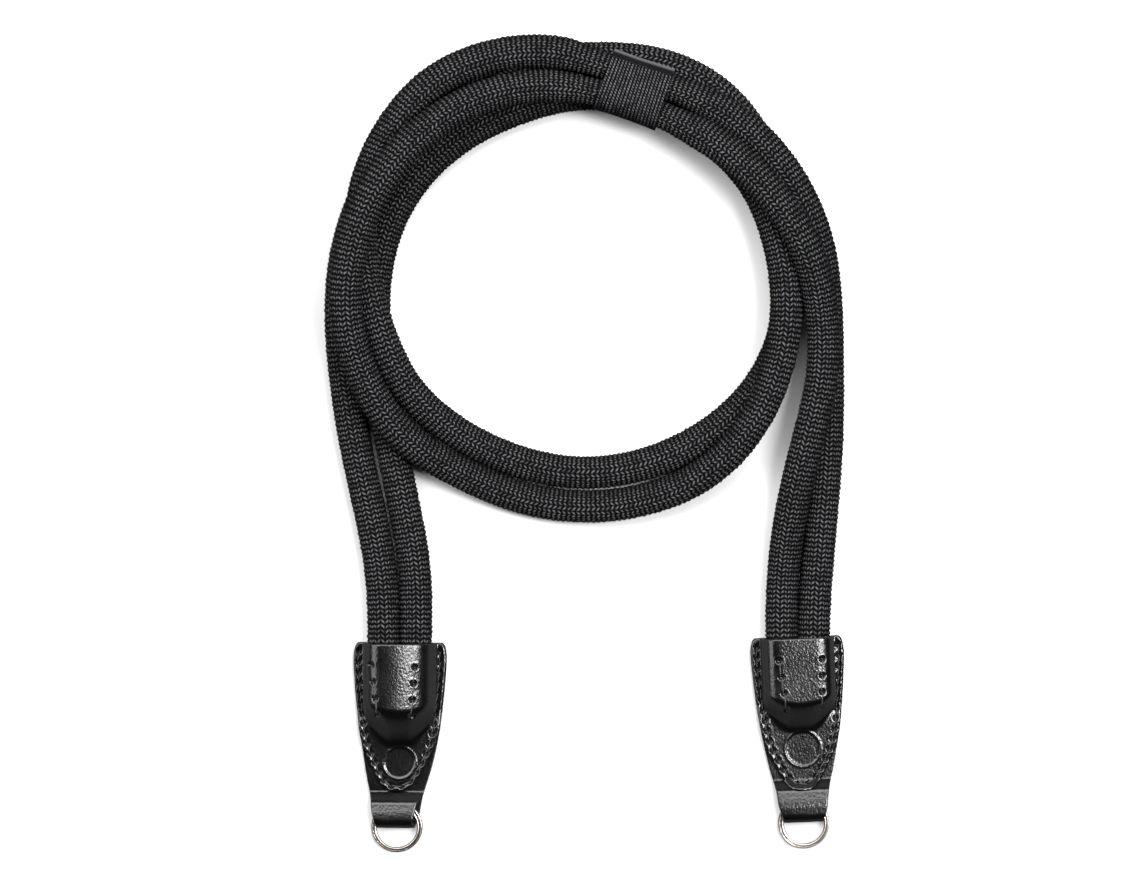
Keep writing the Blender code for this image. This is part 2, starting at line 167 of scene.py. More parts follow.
def natural_spline(places: np.ndarray, values: np.ndarray, wanted: np.ndarray) -> np.ndarray:
    """Reads a smooth curve through given values.

    Args:
        places: Where the values are, rising.
        values: The values there.
        wanted: Where the curve is read.

    Returns:
        The curve's values at the wanted places.
    """
    count = len(places)
    spans = np.diff(places)
    matrix = np.zeros((count, count))
    right = np.zeros(count)
    matrix[0, 0] = 1.0
    matrix[-1, -1] = 1.0
    for k in range(1, count - 1):
        matrix[k, k - 1] = spans[k - 1]
        matrix[k, k] = 2 * (spans[k - 1] + spans[k])
        matrix[k, k + 1] = spans[k]
        rise_after = (values[k + 1] - values[k]) / spans[k]
        rise_before = (values[k] - values[k - 1]) / spans[k - 1]
        right[k] = 6 * (rise_after - rise_before)
    curvature = np.linalg.solve(matrix, right)
    span = np.clip(np.searchsorted(places, wanted) - 1, 0, count - 2)
    width = spans[span]
    before = (places[span + 1] - wanted) / width
    after = 1.0 - before
    bow = (before**3 - before) * curvature[span] + (after**3 - after) * curvature[span + 1]
    return before * values[span] + after * values[span + 1] + bow * width**2 / 6


def smooth_curve(points: np.ndarray, count: int) -> np.ndarray:
    """Draws a smooth curve through points.

    Args:
        points: The points, in rows.
        count: How many points of the curve are wanted.

    Returns:
        The curve's points, in rows.
    """
    places = run_along(points)
    wanted = np.linspace(0.0, places[-1], count)
    return np.stack([natural_spline(places, column, wanted) for column in points.T], axis=1)


def nearest_distance(spots: np.ndarray, line: np.ndarray) -> np.ndarray:
    """The distance from each spot to the nearest point of a line, worked out in batches."""
    batches = np.array_split(spots, max(1, len(spots) // 4000))
    found = [((batch[:, None, :] - line[None, :, :]) ** 2).sum(axis=2).min(axis=1) for batch in batches]
    return np.sqrt(np.concatenate(found))


def add_mesh(
    name: str, points: np.ndarray, faces: list[list[int]], material: bpy.types.Material
) -> bpy.types.Object:
    """Makes a smooth object from points and faces, and links it to the scene.

    Args:
        name: The new object's name.
        points: The points, in rows.
        faces: Each face's points, by number.
        material: The finish of the mesh.

    Returns:
        The object.
    """
    mesh = bpy.data.meshes.new(name)
    mesh.from_pydata(points.tolist(), [], faces)
    mesh.materials.append(material)
    mesh.shade_smooth()
    made = bpy.data.objects.new(name, mesh)
    bpy.context.collection.objects.link(made)
    return made


def skin(
    name: str,
    points: np.ndarray,
    material: bpy.types.Material,
    across: np.ndarray | None = None,
    along: np.ndarray | None = None,
    ring: bool = False,
    capped: bool = False,
) -> bpy.types.Object:
    """Makes a smooth mesh over a grid of points.

    Args:
        name: The new object's name.
        points: Rows of points, as an array of rows, columns and three coordinates.
        material: The finish of the mesh.
        across: One pattern coordinate for each column, and one more where the columns close.
        along: One pattern coordinate for each row.
        ring: Whether each row closes on itself.
        capped: Whether the first and the last row get a face of their own.

    Returns:
        The object, linked to the scene.
    """
    rows, columns = points.shape[:2]
    index = np.arange(rows * columns).reshape(rows, columns)
    here = index if ring else index[:, :-1]
    beside = np.roll(index, -1, axis=1) if ring else index[:, 1:]
    faces = np.stack([here[:-1], beside[:-1], beside[1:], here[1:]], axis=-1).reshape(-1, 4).tolist()
    if capped:
        faces += [index[0, ::-1].tolist(), index[-1].tolist()]
    made = add_mesh(name, points.reshape(-1, 3), faces, material)
    if across is not None and along is not None:
        grid = np.zeros((rows - 1, len(across) - 1, 4, 2))
        grid[:, :, (0, 3), 0] = across[None, :-1, None]
        grid[:, :, (1, 2), 0] = across[None, 1:, None]
        grid[:, :, (0, 1), 1] = along[:-1, None, None]
        grid[:, :, (2, 3), 1] = along[1:, None, None]
        # The caps come after the grid's faces, and keep a coordinate of 0.
        flat = np.zeros(len(made.data.loops) * 2)
        flat[:grid.size] = grid.ravel()
        made.data.uv_layers.new(name=PATTERN).data.foreach_set("uv", flat)
    return made


def hand_over(piece: bpy.types.Object, slot: Slot, *nodes: str) -> None:
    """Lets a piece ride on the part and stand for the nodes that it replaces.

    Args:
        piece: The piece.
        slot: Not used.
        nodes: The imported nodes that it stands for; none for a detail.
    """
    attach(piece, BODY)
    if nodes:
        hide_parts(*nodes)
    log.info("%s: %d faces, stands for %s", piece.name, len(piece.data.polygons), nodes or "detail")


@dataclass(frozen=True)
class Finish:
    """What all finishes share.

    Attributes:
        name: The material's name in the file.
        roughness: Of the surface, where it is even.
        gloss: How strongly it mirrors, as the shader counts it.
    """

    name: str
    roughness: float
    gloss: float

    def material(self) -> bpy.types.Material:
        """Makes the material at its first use, and hands out the same one afterwards.

        Returns:
            The material.
        """
        found = bpy.data.materials.get(self.name)
        if found:
            return found
        made = bpy.data.materials.new(self.name)
        made.use_nodes = True
        shader = made.node_tree.nodes["Principled BSDF"]
        shader.inputs["Roughness"].default_value = self.roughness
        shader.inputs["Specular IOR Level"].default_value = self.gloss
        self.dress(made.node_tree, shader)
        return made

    def dress(self, tree: bpy.types.NodeTree, shader: bpy.types.Node) -> None:
        """Sets the shader up; each finish has its own way.

        Args:
            tree: The material's node tree.
            shader: Its surface shader.
        """
        raise NotImplementedError


@dataclass(frozen=True)
class PlaitedNylon(Finish):
    """Textured nylon yarn, dyed black in the mass and plaited on a braiding machine.

    The crimped filaments scatter light, so a stitch shows as a dull crown with faint streaks. The
    colour is painted light and shade: pale on the crowns, and painted black with shade in the furrows
    round them and between the columns. The pattern coordinates count stitches, columns across and rows
    along, so the scale is the mesh's own: 1.47 mm from row to row on the ropes.

    Attributes:
        yarn: Colour of a stitch's crown.
        painted_furrow_shade: Colour painted between the stitches as shade, where little light gets.
        gap: Share of a row that the furrow's painted shade beside it takes.
        gap_floor: Share of that furrow which is flat and painted darkest.
        shoulder: Shares of a stitch's width between which it rises to its crown, out of the painted shade.
        beside: Paleness that is left between two columns, under painted shade.
        chance: Least and greatest paleness of single stitches.
        filaments: Filament bundles that show along one stitch, drawn coarser than the real ones,
            which are too fine for the picture.
        bundle_length: How much longer than a stitch is wide a bundle is drawn.
        streaks: How much paler a bundle is than what lies between: part the filaments' own tone, part
            painted sheen.
        between: Paleness between the bundles.
        bundle_height: Height of a bundle, as a share of the stitch's.
        stitch_depth: Height of a stitch's crown over the furrows round it.
        lean: How many columns a stitch leans over from one row to the next.
        columns: Columns all the way round, counted from the one that is painted palest, as lit; on the
            ropes it is the topmost.
        painted_lit_facing: Cosine of the turn from that column up to which it is palest.
        painted_unlit_paleness: Paleness of the columns on the other side, which are painted darker as
            shade.
        roughness: Of the filaments, which are matt.
    """

    name: str = "plaited_black_nylon"
    yarn: str = "#252526"
    painted_furrow_shade: str = "#010101"
    gap: float = 0.39
    gap_floor: float = 0.45
    shoulder: tuple[float, float] = (0.04, 0.4)
    beside: float = 0.04
    chance: tuple[float, float] = (0.45, 1.4)
    filaments: float = 5.0
    bundle_length: float = 0.8
    streaks: float = 0.9
    between: float = 0.55
    bundle_height: float = 0.15
    stitch_depth: float = 0.3 * MM
    lean: float = 0.0
    columns: float = 32.0
    painted_lit_facing: float = 0.9
    painted_unlit_paleness: float = 0.1
    roughness: float = 0.95
    gloss: float = 0.01

    def dress(self, tree: bpy.types.NodeTree, shader: bpy.types.Node) -> None:
        """Draws crowns, furrows and filaments from the stitch coordinates, with painted shade in the
        furrows and on the columns away from the first one.

        Args:
            tree: The material's node tree.
            shader: Its surface shader.
        """
        pattern = add_node(tree, "UVMap", {"uv_map": PATTERN})
        place = add_node(tree, "SeparateXYZ", links={0: pattern})
        column, row = place.outputs["X"], place.outputs["Y"]
        leaning = add_node(tree, "Math", {"operation": "MULTIPLY_ADD", 1: self.lean}, {0: row, 2: column})
        across = add_node(tree, "Math", {"operation": "PINGPONG", 1: 0.5}, {0: leaning})
        along = add_node(tree, "Math", {"operation": "PINGPONG", 1: 0.5}, {0: row})
        # The furrow and shoulder masks set where the colour is painted dark, as shade in the furrows and
        # between the columns.
        floor = self.gap_floor * self.gap
        rising = {"interpolation_type": "SMOOTHSTEP", "From Min": floor, "From Max": self.gap}
        furrow = add_node(tree, "MapRange", rising, {"Value": along})
        low, high = self.shoulder
        rising = {"interpolation_type": "SMOOTHSTEP", "From Min": low, "From Max": high}
        rising["To Min"] = self.beside
        shoulder = add_node(tree, "MapRange", rising, {"Value": across})
        crown = add_node(tree, "Math", {"operation": "MULTIPLY"}, {0: furrow, 1: shoulder})
        stitch = add_node(tree, "VectorMath", {"operation": "FLOOR"}, {0: pattern})
        chance = add_node(tree, "TexWhiteNoise", {"noise_dimensions": "2D"}, {0: stitch})
        dark, pale = self.chance
        light = add_node(tree, "MapRange", {"To Min": dark, "To Max": pale}, {"Value": chance})
        lengths = (self.bundle_length, self.filaments, 1.0)
        fine = add_node(tree, "VectorMath", {"operation": "MULTIPLY", 1: lengths}, {0: pattern})
        noise = {"noise_dimensions": "2D", "Scale": 2.0, "Detail": 2.0, "Roughness": 0.6}
        bundle = add_node(tree, "TexNoise", noise, {"Vector": fine})
        depth = add_node(tree, "Math", {"operation": "MULTIPLY"}, {0: crown, 1: light})
        # Columns further round from the first one are painted darker, as shade; on the ropes the first is
        # the topmost.
        one_column = math.tau / self.columns
        turn = add_node(tree, "Math", {"operation": "MULTIPLY", 1: one_column}, {0: column})
        upward = add_node(tree, "Math", {"operation": "COSINE"}, {0: turn})
        wear_and_shade = {"From Min": 0.0, "From Max": self.painted_lit_facing, "To Min": self.painted_unlit_paleness}
        painted_lit_facing = add_node(tree, "MapRange", wear_and_shade, {"Value": upward})
        worn_and_shaded = add_node(tree, "Math", {"operation": "MULTIPLY"}, {0: depth, 1: painted_lit_facing})
        # Paler streaks along the bundles: part the filaments' own tone, part painted sheen.
        streaking = {"operation": "MULTIPLY_ADD", 1: self.streaks, 2: self.between}
        streaked = add_node(tree, "Math", streaking, {0: bundle})
        share = add_node(tree, "Math", {"operation": "MULTIPLY", "use_clamp": True}, {0: worn_and_shaded, 1: streaked})
        # The colour runs from the painted furrow shade up to the yarn's colour on the lit crowns.
        colours = {"data_type": "RGBA", 6: linear(self.painted_furrow_shade), 7: linear(self.yarn)}
        colour = add_node(tree, "Mix", colours, {0: share})
        raising = {"operation": "MULTIPLY_ADD", 1: self.bundle_height}
        height = add_node(tree, "Math", raising, {0: bundle, 2: crown})
        bump = add_node(tree, "Bump", {"Strength": 1.0, "Distance": self.stitch_depth}, {"Height": height})
        tree.links.new(colour.outputs[2], shader.inputs["Base Color"])
        tree.links.new(bump.outputs[0], shader.inputs["Normal"])


@dataclass(frozen=True)
class RibbedWebbing(PlaitedNylon):
    """The same yarn, woven flat into thin ribbed webbing: tighter, with short slanting stitches.

    The attributes are those of the plaited yarn, and the colour is painted lit and shaded in the same way.
    A rib here is 1.08 mm wide.
    """

    name: str = "ribbed_black_webbing"
    yarn: str = "#272729"
    gap: float = 0.32
    filaments: float = 2.0
    lean: float = 0.8
    columns: float = 56.0
    # Columns on the far side from the first one are painted this pale, as shade.
    painted_unlit_paleness: float = 0.15


@dataclass(frozen=True)
class TurnedHem(Finish):
    """The webbing's hem, turned over and pressed with heat: smooth on the fold, and painted dark beside it,
    where it is sewn down, as the fold's shadow.

    Attributes:
        fold: Colour of the rounded fold.
        painted_fold_shadow: Colour beside it, where the hem dips to the weave: painted shadow of the fold.
        shadow_from: Share of the hem's width at which the dip and the painted shadow start.
        shadow_fade: Share of it over which the colour turns.
        threads: Threads across the hem, drawn coarser than the real ones.
        thread_length: How fast they change along the hem.
        thread_depth: Height of a thread.
        roughness: Of the pressed yarn.
    """

    name: str = "pressed_nylon_hem"
    fold: str = "#262627"
    painted_fold_shadow: str = "#020202"
    shadow_from: float = 0.64
    shadow_fade: float = 0.16
    threads: float = 14.0
    thread_length: float = 0.8
    thread_depth: float = 0.1 * MM
    roughness: float = 0.6
    gloss: float = 0.02

    def dress(self, tree: bpy.types.NodeTree, shader: bpy.types.Node) -> None:
        """Sets the fold off from its painted shadow, and draws the threads that run along it.

        Args:
            tree: The material's node tree.
            shader: Its surface shader.
        """
        pattern = add_node(tree, "UVMap", {"uv_map": PATTERN})
        place = add_node(tree, "SeparateXYZ", links={0: pattern})
        # Beside the fold the hem is painted dark, as the fold's shadow.
        start, end = self.shadow_from - self.shadow_fade / 2, self.shadow_from + self.shadow_fade / 2
        dip = {"interpolation_type": "SMOOTHSTEP", "From Min": start, "From Max": end}
        fold_shadow = add_node(tree, "MapRange", dip, {"Value": place.outputs["X"]})
        scale = (self.threads, self.thread_length, 1.0)
        stretched = add_node(tree, "VectorMath", {"operation": "MULTIPLY", 1: scale}, {0: pattern})
        noise = {"noise_dimensions": "2D", "Scale": 1.0, "Detail": 1.0}
        threads = add_node(tree, "TexNoise", noise, {"Vector": stretched})
        colours = {"data_type": "RGBA", 6: linear(self.fold), 7: linear(self.painted_fold_shadow)}
        colour = add_node(tree, "Mix", colours, {0: fold_shadow})
        bump = add_node(tree, "Bump", {"Strength": 0.6, "Distance": self.thread_depth}, {"Height": threads})
        tree.links.new(colour.outputs[2], shader.inputs["Base Color"])
        tree.links.new(bump.outputs[0], shader.inputs["Normal"])


@dataclass(frozen=True)
class MouldedLeather(Finish):
    """Full-grain cowhide, dyed through, pressed wet over a form and glazed.

    The glaze gives the tops a soft gloss that the fine pebble breaks up. Nothing polishes the steep
    sides, so they stay dull and black.

    Attributes:
        hide: The dyed hide's colour.
        pebble: Width of one pebble of the grain.
        pebble_stretch: How much longer than wide a pebble is.
        pebble_depth: Height of the grain.
        crease: How much deeper the creases between the pebbles are than the small folds.
        fold_share: Width of a pebble, as a share of a small fold's.
        roughness: The glaze's roughness where it is flat.
        glaze_wear: How far from that the roughness goes, where the glaze is best and where it is worn.
        patches: Patches of the glaze to the metre: one is about 11 mm wide.
        side_roughness: What the steep sides are rougher by.
        sides: How much a face looks up, from where it counts as a side to where it counts as flat.
    """

    name: str = "moulded_black_cowhide"
    hide: str = "#010101"
    pebble: float = 0.55 * MM
    pebble_stretch: float = 1.4
    pebble_depth: float = 0.032 * MM
    crease: float = 1.4
    fold_share: float = 0.8
    roughness: float = 0.21
    glaze_wear: tuple[float, float] = (-0.04, 0.05)
    patches: float = 90.0
    side_roughness: float = 0.7
    sides: tuple[float, float] = (0.5, 0.88)
    gloss: float = 0.1

    def dress(self, tree: bpy.types.NodeTree, shader: bpy.types.Node) -> None:
        """Draws the pebble, the small folds and a glaze that is worn unevenly.

        Args:
            tree: The material's node tree.
            shader: Its surface shader.
        """
        place = add_node(tree, "TexCoord").outputs["Object"]
        shape = (1.0, 1.0 / self.pebble_stretch, 1.0)
        stretched = add_node(tree, "VectorMath", {"operation": "MULTIPLY", 1: shape}, {0: place})
        cells = {"feature": "SMOOTH_F1", "Scale": 1.0 / self.pebble, "Smoothness": 0.5}
        grain = add_node(tree, "TexVoronoi", cells, {"Vector": stretched})
        noise = {"Scale": self.fold_share / self.pebble, "Detail": 1.0, "Roughness": 0.5}
        folds = add_node(tree, "TexNoise", noise, {"Vector": stretched})
        creasing = {"operation": "MULTIPLY_ADD", 1: -self.crease}
        relief = add_node(tree, "Math", creasing, {0: grain, 2: folds})
        bump = add_node(tree, "Bump", {"Strength": 0.8, "Distance": self.pebble_depth}, {"Height": relief})
        noise = {"Scale": self.patches, "Detail": 4.0, "Roughness": 0.6}
        cloud = add_node(tree, "TexNoise", noise, {"Vector": place})
        best, worn_and_shaded = (self.roughness + change for change in self.glaze_wear)
        wear_and_shade = {"From Min": 0.3, "From Max": 0.7, "To Min": best, "To Max": worn_and_shaded}
        glaze = add_node(tree, "MapRange", wear_and_shade, {"Value": cloud})
        facing = add_node(tree, "NewGeometry").outputs["Normal"]
        upward = add_node(tree, "SeparateXYZ", links={0: facing}).outputs["Z"]
        flatness = add_node(tree, "Math", {"operation": "ABSOLUTE"}, {0: upward})
        side, flat = self.sides
        dulling = {"From Min": side, "From Max": flat, "To Min": self.side_roughness, "To Max": 0.0}
        dulling["interpolation_type"] = "SMOOTHSTEP"
        dullness = add_node(tree, "MapRange", dulling, {"Value": flatness})
        rough = add_node(tree, "Math", {"operation": "ADD"}, {0: glaze, 1: dullness})
        tree.links.new(bump.outputs[0], shader.inputs["Normal"])
        tree.links.new(rough.outputs[0], shader.inputs["Roughness"])
        shader.inputs["Base Color"].default_value = linear(self.hide)


@dataclass(frozen=True)
class BondedThread(Finish):
    """Bonded nylon sewing thread, three plies twisted and coated: black, with a dull shine on each ply.

    Attributes:
        thread: The thread's colour.
        plies: Ply crossings along one stitch.
        ply_depth: Height of a ply.
        roughness: Of the coating.
    """

    name: str = "bonded_nylon_thread"
    thread: str = "#0b0b0c"
    plies: float = 9.0
    ply_depth: float = 0.04 * MM
    roughness: float = 0.4
    gloss: float = 0.16

    def dress(self, tree: bpy.types.NodeTree, shader: bpy.types.Node) -> None:
        """Draws the twist as slanting waves from the thread's own coordinates.

        Args:
            tree: The material's node tree.
            shader: Its surface shader.
        """
        pattern = add_node(tree, "UVMap", {"uv_map": PATTERN})
        place = add_node(tree, "SeparateXYZ", links={0: pattern})
        twist = {"operation": "MULTIPLY_ADD", 1: self.plies}
        slant = add_node(tree, "Math", twist, {0: place.outputs["Y"], 2: place.outputs["X"]})
        turn = add_node(tree, "Math", {"operation": "MULTIPLY", 1: math.tau}, {0: slant})
        wave = add_node(tree, "Math", {"operation": "SINE"}, {0: turn})
        bump = add_node(tree, "Bump", {"Strength": 0.9, "Distance": self.ply_depth}, {"Height": wave})
        tree.links.new(bump.outputs[0], shader.inputs["Normal"])
        shader.inputs["Base Color"].default_value = linear(self.thread)


@dataclass(frozen=True)
class PlatedSpringSteel(Finish):
    """Tempered steel wire, drawn through a die, coiled and nickel-plated.

    The plating is bright and slightly warm on the faces that look up, its sides are painted dark as shade,
    and the die's fine lines run along it.

    Attributes:
        plating: The nickel's colour on the faces that look up.
        painted_side_shade: Its colour on the wire's sides, painted dark as shade.
        painted_lit_facing: How much a face looks up, from where it counts as a side in painted shade to
            where it has the plating's full colour.
        lines: Die lines round the wire, drawn coarser than the real ones.
        line_ends: How often they change in one turn.
        roughness: The plating's roughness.
        line_roughness: How far from that the roughness goes, between the lines and on them.
    """

    name: str = "nickel_plated_spring_steel"
    plating: str = "#7c7671"
    painted_side_shade: str = "#0b0a0a"
    painted_lit_facing: tuple[float, float] = (0.92, 0.995)
    lines: float = 40.0
    line_ends: float = 6.0
    roughness: float = 0.24
    line_roughness: tuple[float, float] = (-0.07, 0.12)
    gloss: float = 0.5

    def dress(self, tree: bpy.types.NodeTree, shader: bpy.types.Node) -> None:
        """Draws the lines that the die left along the wire, and paints shade on its sides.

        Args:
            tree: The material's node tree.
            shader: Its surface shader.
        """
        pattern = add_node(tree, "UVMap", {"uv_map": PATTERN})
        scale = (self.lines, self.line_ends, 1.0)
        stretched = add_node(tree, "VectorMath", {"operation": "MULTIPLY", 1: scale}, {0: pattern})
        noise = {"noise_dimensions": "2D", "Scale": 1.0, "Detail": 2.0}
        lines = add_node(tree, "TexNoise", noise, {"Vector": stretched})
        smooth, scored = (self.roughness + change for change in self.line_roughness)
        rough = add_node(tree, "MapRange", {"To Min": smooth, "To Max": scored}, {"Value": lines})
        # Faces that look less up are painted darker, as shade on the wire's sides.
        facing = add_node(tree, "NewGeometry").outputs["Normal"]
        upward = add_node(tree, "SeparateXYZ", links={0: facing}).outputs["Z"]
        flatness = add_node(tree, "Math", {"operation": "ABSOLUTE"}, {0: upward})
        side, flat = self.painted_lit_facing
        rubbing = {"interpolation_type": "SMOOTHSTEP", "From Min": side, "From Max": flat}
        painted_lit_facing = add_node(tree, "MapRange", rubbing, {"Value": flatness})
        colours = {"data_type": "RGBA", 6: linear(self.painted_side_shade), 7: linear(self.plating)}
        colour = add_node(tree, "Mix", colours, {0: painted_lit_facing})
        tree.links.new(colour.outputs[2], shader.inputs["Base Color"])
        tree.links.new(rough.outputs[0], shader.inputs["Roughness"])
        shader.inputs["Metallic"].default_value = 1.0


@dataclass(frozen=True)
class BackdropPaper(Finish):
    """Matt pale grey backdrop paper, felted and uncoated, lit so strongly that it comes out white.

    Attributes:
        paper: The paper's colour.
        tooth: Bumps of the paper's tooth to the metre: one is about 1.1 mm wide.
        tooth_depth: Height of one.
        roughness: Of the bare fibres.
    """

    name: str = "matt_backdrop_paper"
    paper: str = "#6c6c6c"
    tooth: float = 900.0
    tooth_depth: float = 0.02 * MM
    roughness: float = 0.9
    gloss: float = 0.1

    def dress(self, tree: bpy.types.NodeTree, shader: bpy.types.Node) -> None:
        """Adds the paper's faint tooth.

        Args:
            tree: The material's node tree.
            shader: Its surface shader.
        """
        place = add_node(tree, "TexCoord").outputs["Object"]
        tooth = add_node(tree, "TexNoise", {"Scale": self.tooth}, {"Vector": place})
        bump = add_node(tree, "Bump", {"Strength": 0.1, "Distance": self.tooth_depth}, {"Height": tooth})
        tree.links.new(bump.outputs[0], shader.inputs["Normal"])
        shader.inputs["Base Color"].default_value = linear(self.paper)


# The ropes' routes, as in the part's source, in metres. The outer rope is the outer one of the two
# at both leather ends.
OUTER_ROPE_ROUTE: list[Point] = [
    (-0.0653, -0.0801, 0.0062), (-0.0652, -0.0690, 0.0062), (-0.0651, -0.0584, 0.0061),
    (-0.0662, -0.0352, 0.0049), (-0.0699, -0.0155, 0.0049), (-0.0740, 0.0039, 0.0049),
    (-0.0770, 0.0239, 0.0049), (-0.0782, 0.0439, 0.0049), (-0.0758, 0.0637, 0.0049),
    (-0.0684, 0.0823, 0.0049), (-0.0560, 0.0982, 0.0049), (-0.0397, 0.1100, 0.0049),
    (-0.0210, 0.1172, 0.0049), (-0.0012, 0.1194, 0.0049), (0.0190, 0.1174, 0.0049),
    (0.0365, 0.1085, 0.0049), (0.0489, 0.0924, 0.0049), (0.0553, 0.0739, 0.0049),
    (0.0575, 0.0542, 0.0049), (0.0555, 0.0345, 0.0049), (0.0463, 0.0171, 0.0049),
    (0.0314, 0.0042, 0.0049), (0.0132, -0.0038, 0.0049), (-0.0063, -0.0062, 0.0049),
    (-0.0260, -0.0023, 0.0050), (-0.0438, 0.0065, 0.0076), (-0.0580, 0.0198, 0.0122),
    (-0.0668, 0.0385, 0.0151), (-0.0714, 0.0584, 0.0144), (-0.0704, 0.0786, 0.0152),
    (-0.0627, 0.0968, 0.0147), (-0.0492, 0.1116, 0.0144), (-0.0306, 0.1194, 0.0145),
    (-0.0103, 0.1198, 0.0149), (0.0092, 0.1134, 0.0147), (0.0272, 0.1074, 0.0152),
    (0.0442, 0.0974, 0.0152), (0.0573, 0.0823, 0.0144), (0.0656, 0.0647, 0.0096),
    (0.0689, 0.0452, 0.0049), (0.0694, 0.0252, 0.0049), (0.0692, 0.0052, 0.0049),
    (0.0679, -0.0148, 0.0049), (0.0662, -0.0348, 0.0049), (0.0650, -0.0569, 0.0061),
    (0.0653, -0.0670, 0.0062), (0.0658, -0.0782, 0.0062),
]
INNER_ROPE_ROUTE: list[Point] = [
    (-0.0557, -0.0801, 0.0062), (-0.0556, -0.0690, 0.0062), (-0.0555, -0.0584, 0.0061),
    (-0.0559, -0.0355, 0.0049), (-0.0592, -0.0158, 0.0049), (-0.0632, 0.0039, 0.0049),
    (-0.0666, 0.0233, 0.0049), (-0.0681, 0.0433, 0.0049), (-0.0657, 0.0630, 0.0049),
    (-0.0570, 0.0810, 0.0049), (-0.0430, 0.0947, 0.0049), (-0.0254, 0.1037, 0.0049),
    (-0.0064, 0.1084, 0.0049), (0.0131, 0.1063, 0.0049), (0.0309, 0.0969, 0.0060),
    (0.0455, 0.0827, 0.0119), (0.0534, 0.0652, 0.0142), (0.0563, 0.0457, 0.0150),
    (0.0538, 0.0262, 0.0149), (0.0458, 0.0081, 0.0136), (0.0321, -0.0063, 0.0103),
    (0.0146, -0.0141, 0.0062), (-0.0054, -0.0164, 0.0049), (-0.0250, -0.0132, 0.0052),
    (-0.0432, -0.0054, 0.0082), (-0.0597, 0.0060, 0.0140), (-0.0705, 0.0225, 0.0176),
    (-0.0756, 0.0413, 0.0220), (-0.0738, 0.0609, 0.0243), (-0.0666, 0.0790, 0.0251),
    (-0.0544, 0.0941, 0.0228), (-0.0378, 0.1051, 0.0194), (-0.0189, 0.1097, 0.0172),
    (0.0004, 0.1076, 0.0169), (0.0189, 0.1010, 0.0174), (0.0366, 0.0913, 0.0204),
    (0.0509, 0.0779, 0.0231), (0.0617, 0.0614, 0.0220), (0.0667, 0.0430, 0.0165),
    (0.0670, 0.0232, 0.0149), (0.0629, 0.0039, 0.0134), (0.0586, -0.0154, 0.0098),
    (0.0560, -0.0354, 0.0054), (0.0554, -0.0569, 0.0061), (0.0557, -0.0674, 0.0062),
    (0.0562, -0.0786, 0.0062),
]


@dataclass
class RopeLine:
    """A rope's middle, as a smooth curve through its route.

    Attributes:
        route: The points that were chosen by hand.
        lowest: The least height of the middle above the table.
        samples: How many points the curve is read at.
        points: Those points.
        lengths: How far along the rope each of them is.
        sides: At each, a direction square to the rope that doesn't twist; it points up at the start.
        backs: At each, the direction square to both.
    """

    route: list[Point]
    lowest: float = 4.75 * MM
    samples: int = 4000
    points: np.ndarray = field(init=False)
    lengths: np.ndarray = field(init=False)
    sides: np.ndarray = field(init=False)
    backs: np.ndarray = field(init=False)

    def __post_init__(self) -> None:
        """Reads the curve and carries a frame along it that doesn't twist."""
        self.points = smooth_curve(np.array(self.route), self.samples)
        self.points[:, 2] = np.maximum(self.points[:, 2], self.lowest)
        self.lengths = run_along(self.points)
        tangents = np.gradient(self.points, axis=0)
        tangents /= np.linalg.norm(tangents, axis=1)[:, None]
        self.sides = np.zeros_like(tangents)
        side = np.array([0.0, 0.0, 1.0])
        for k, tangent in enumerate(tangents):
            side = side - tangent * np.dot(side, tangent)
            side /= np.linalg.norm(side)
            self.sides[k] = side
        self.backs = np.cross(tangents, self.sides)

    @property
    def total(self) -> float:
        """The rope's whole length."""
        return float(self.lengths[-1])

    def read(self, rows: np.ndarray, length: np.ndarray | float) -> np.ndarray:
        """Reads points or directions of the line at given distances along it.

        Args:
            rows: The line's points, sides or backs.
            length: Distances from the rope's start, of any shape.

        Returns:
            An array of that shape with three coordinates at its end.
        """
        return np.stack([np.interp(length, self.lengths, rows[:, axis]) for axis in range(3)], axis=-1)

    def nearest(self, point: np.ndarray) -> float:
        """The distance along the line, in its second half, at which it comes nearest to a point."""
        away = np.linalg.norm(self.points - point, axis=1)
        away[self.lengths < self.total / 2] = np.inf
        return float(self.lengths[int(np.argmin(away))])


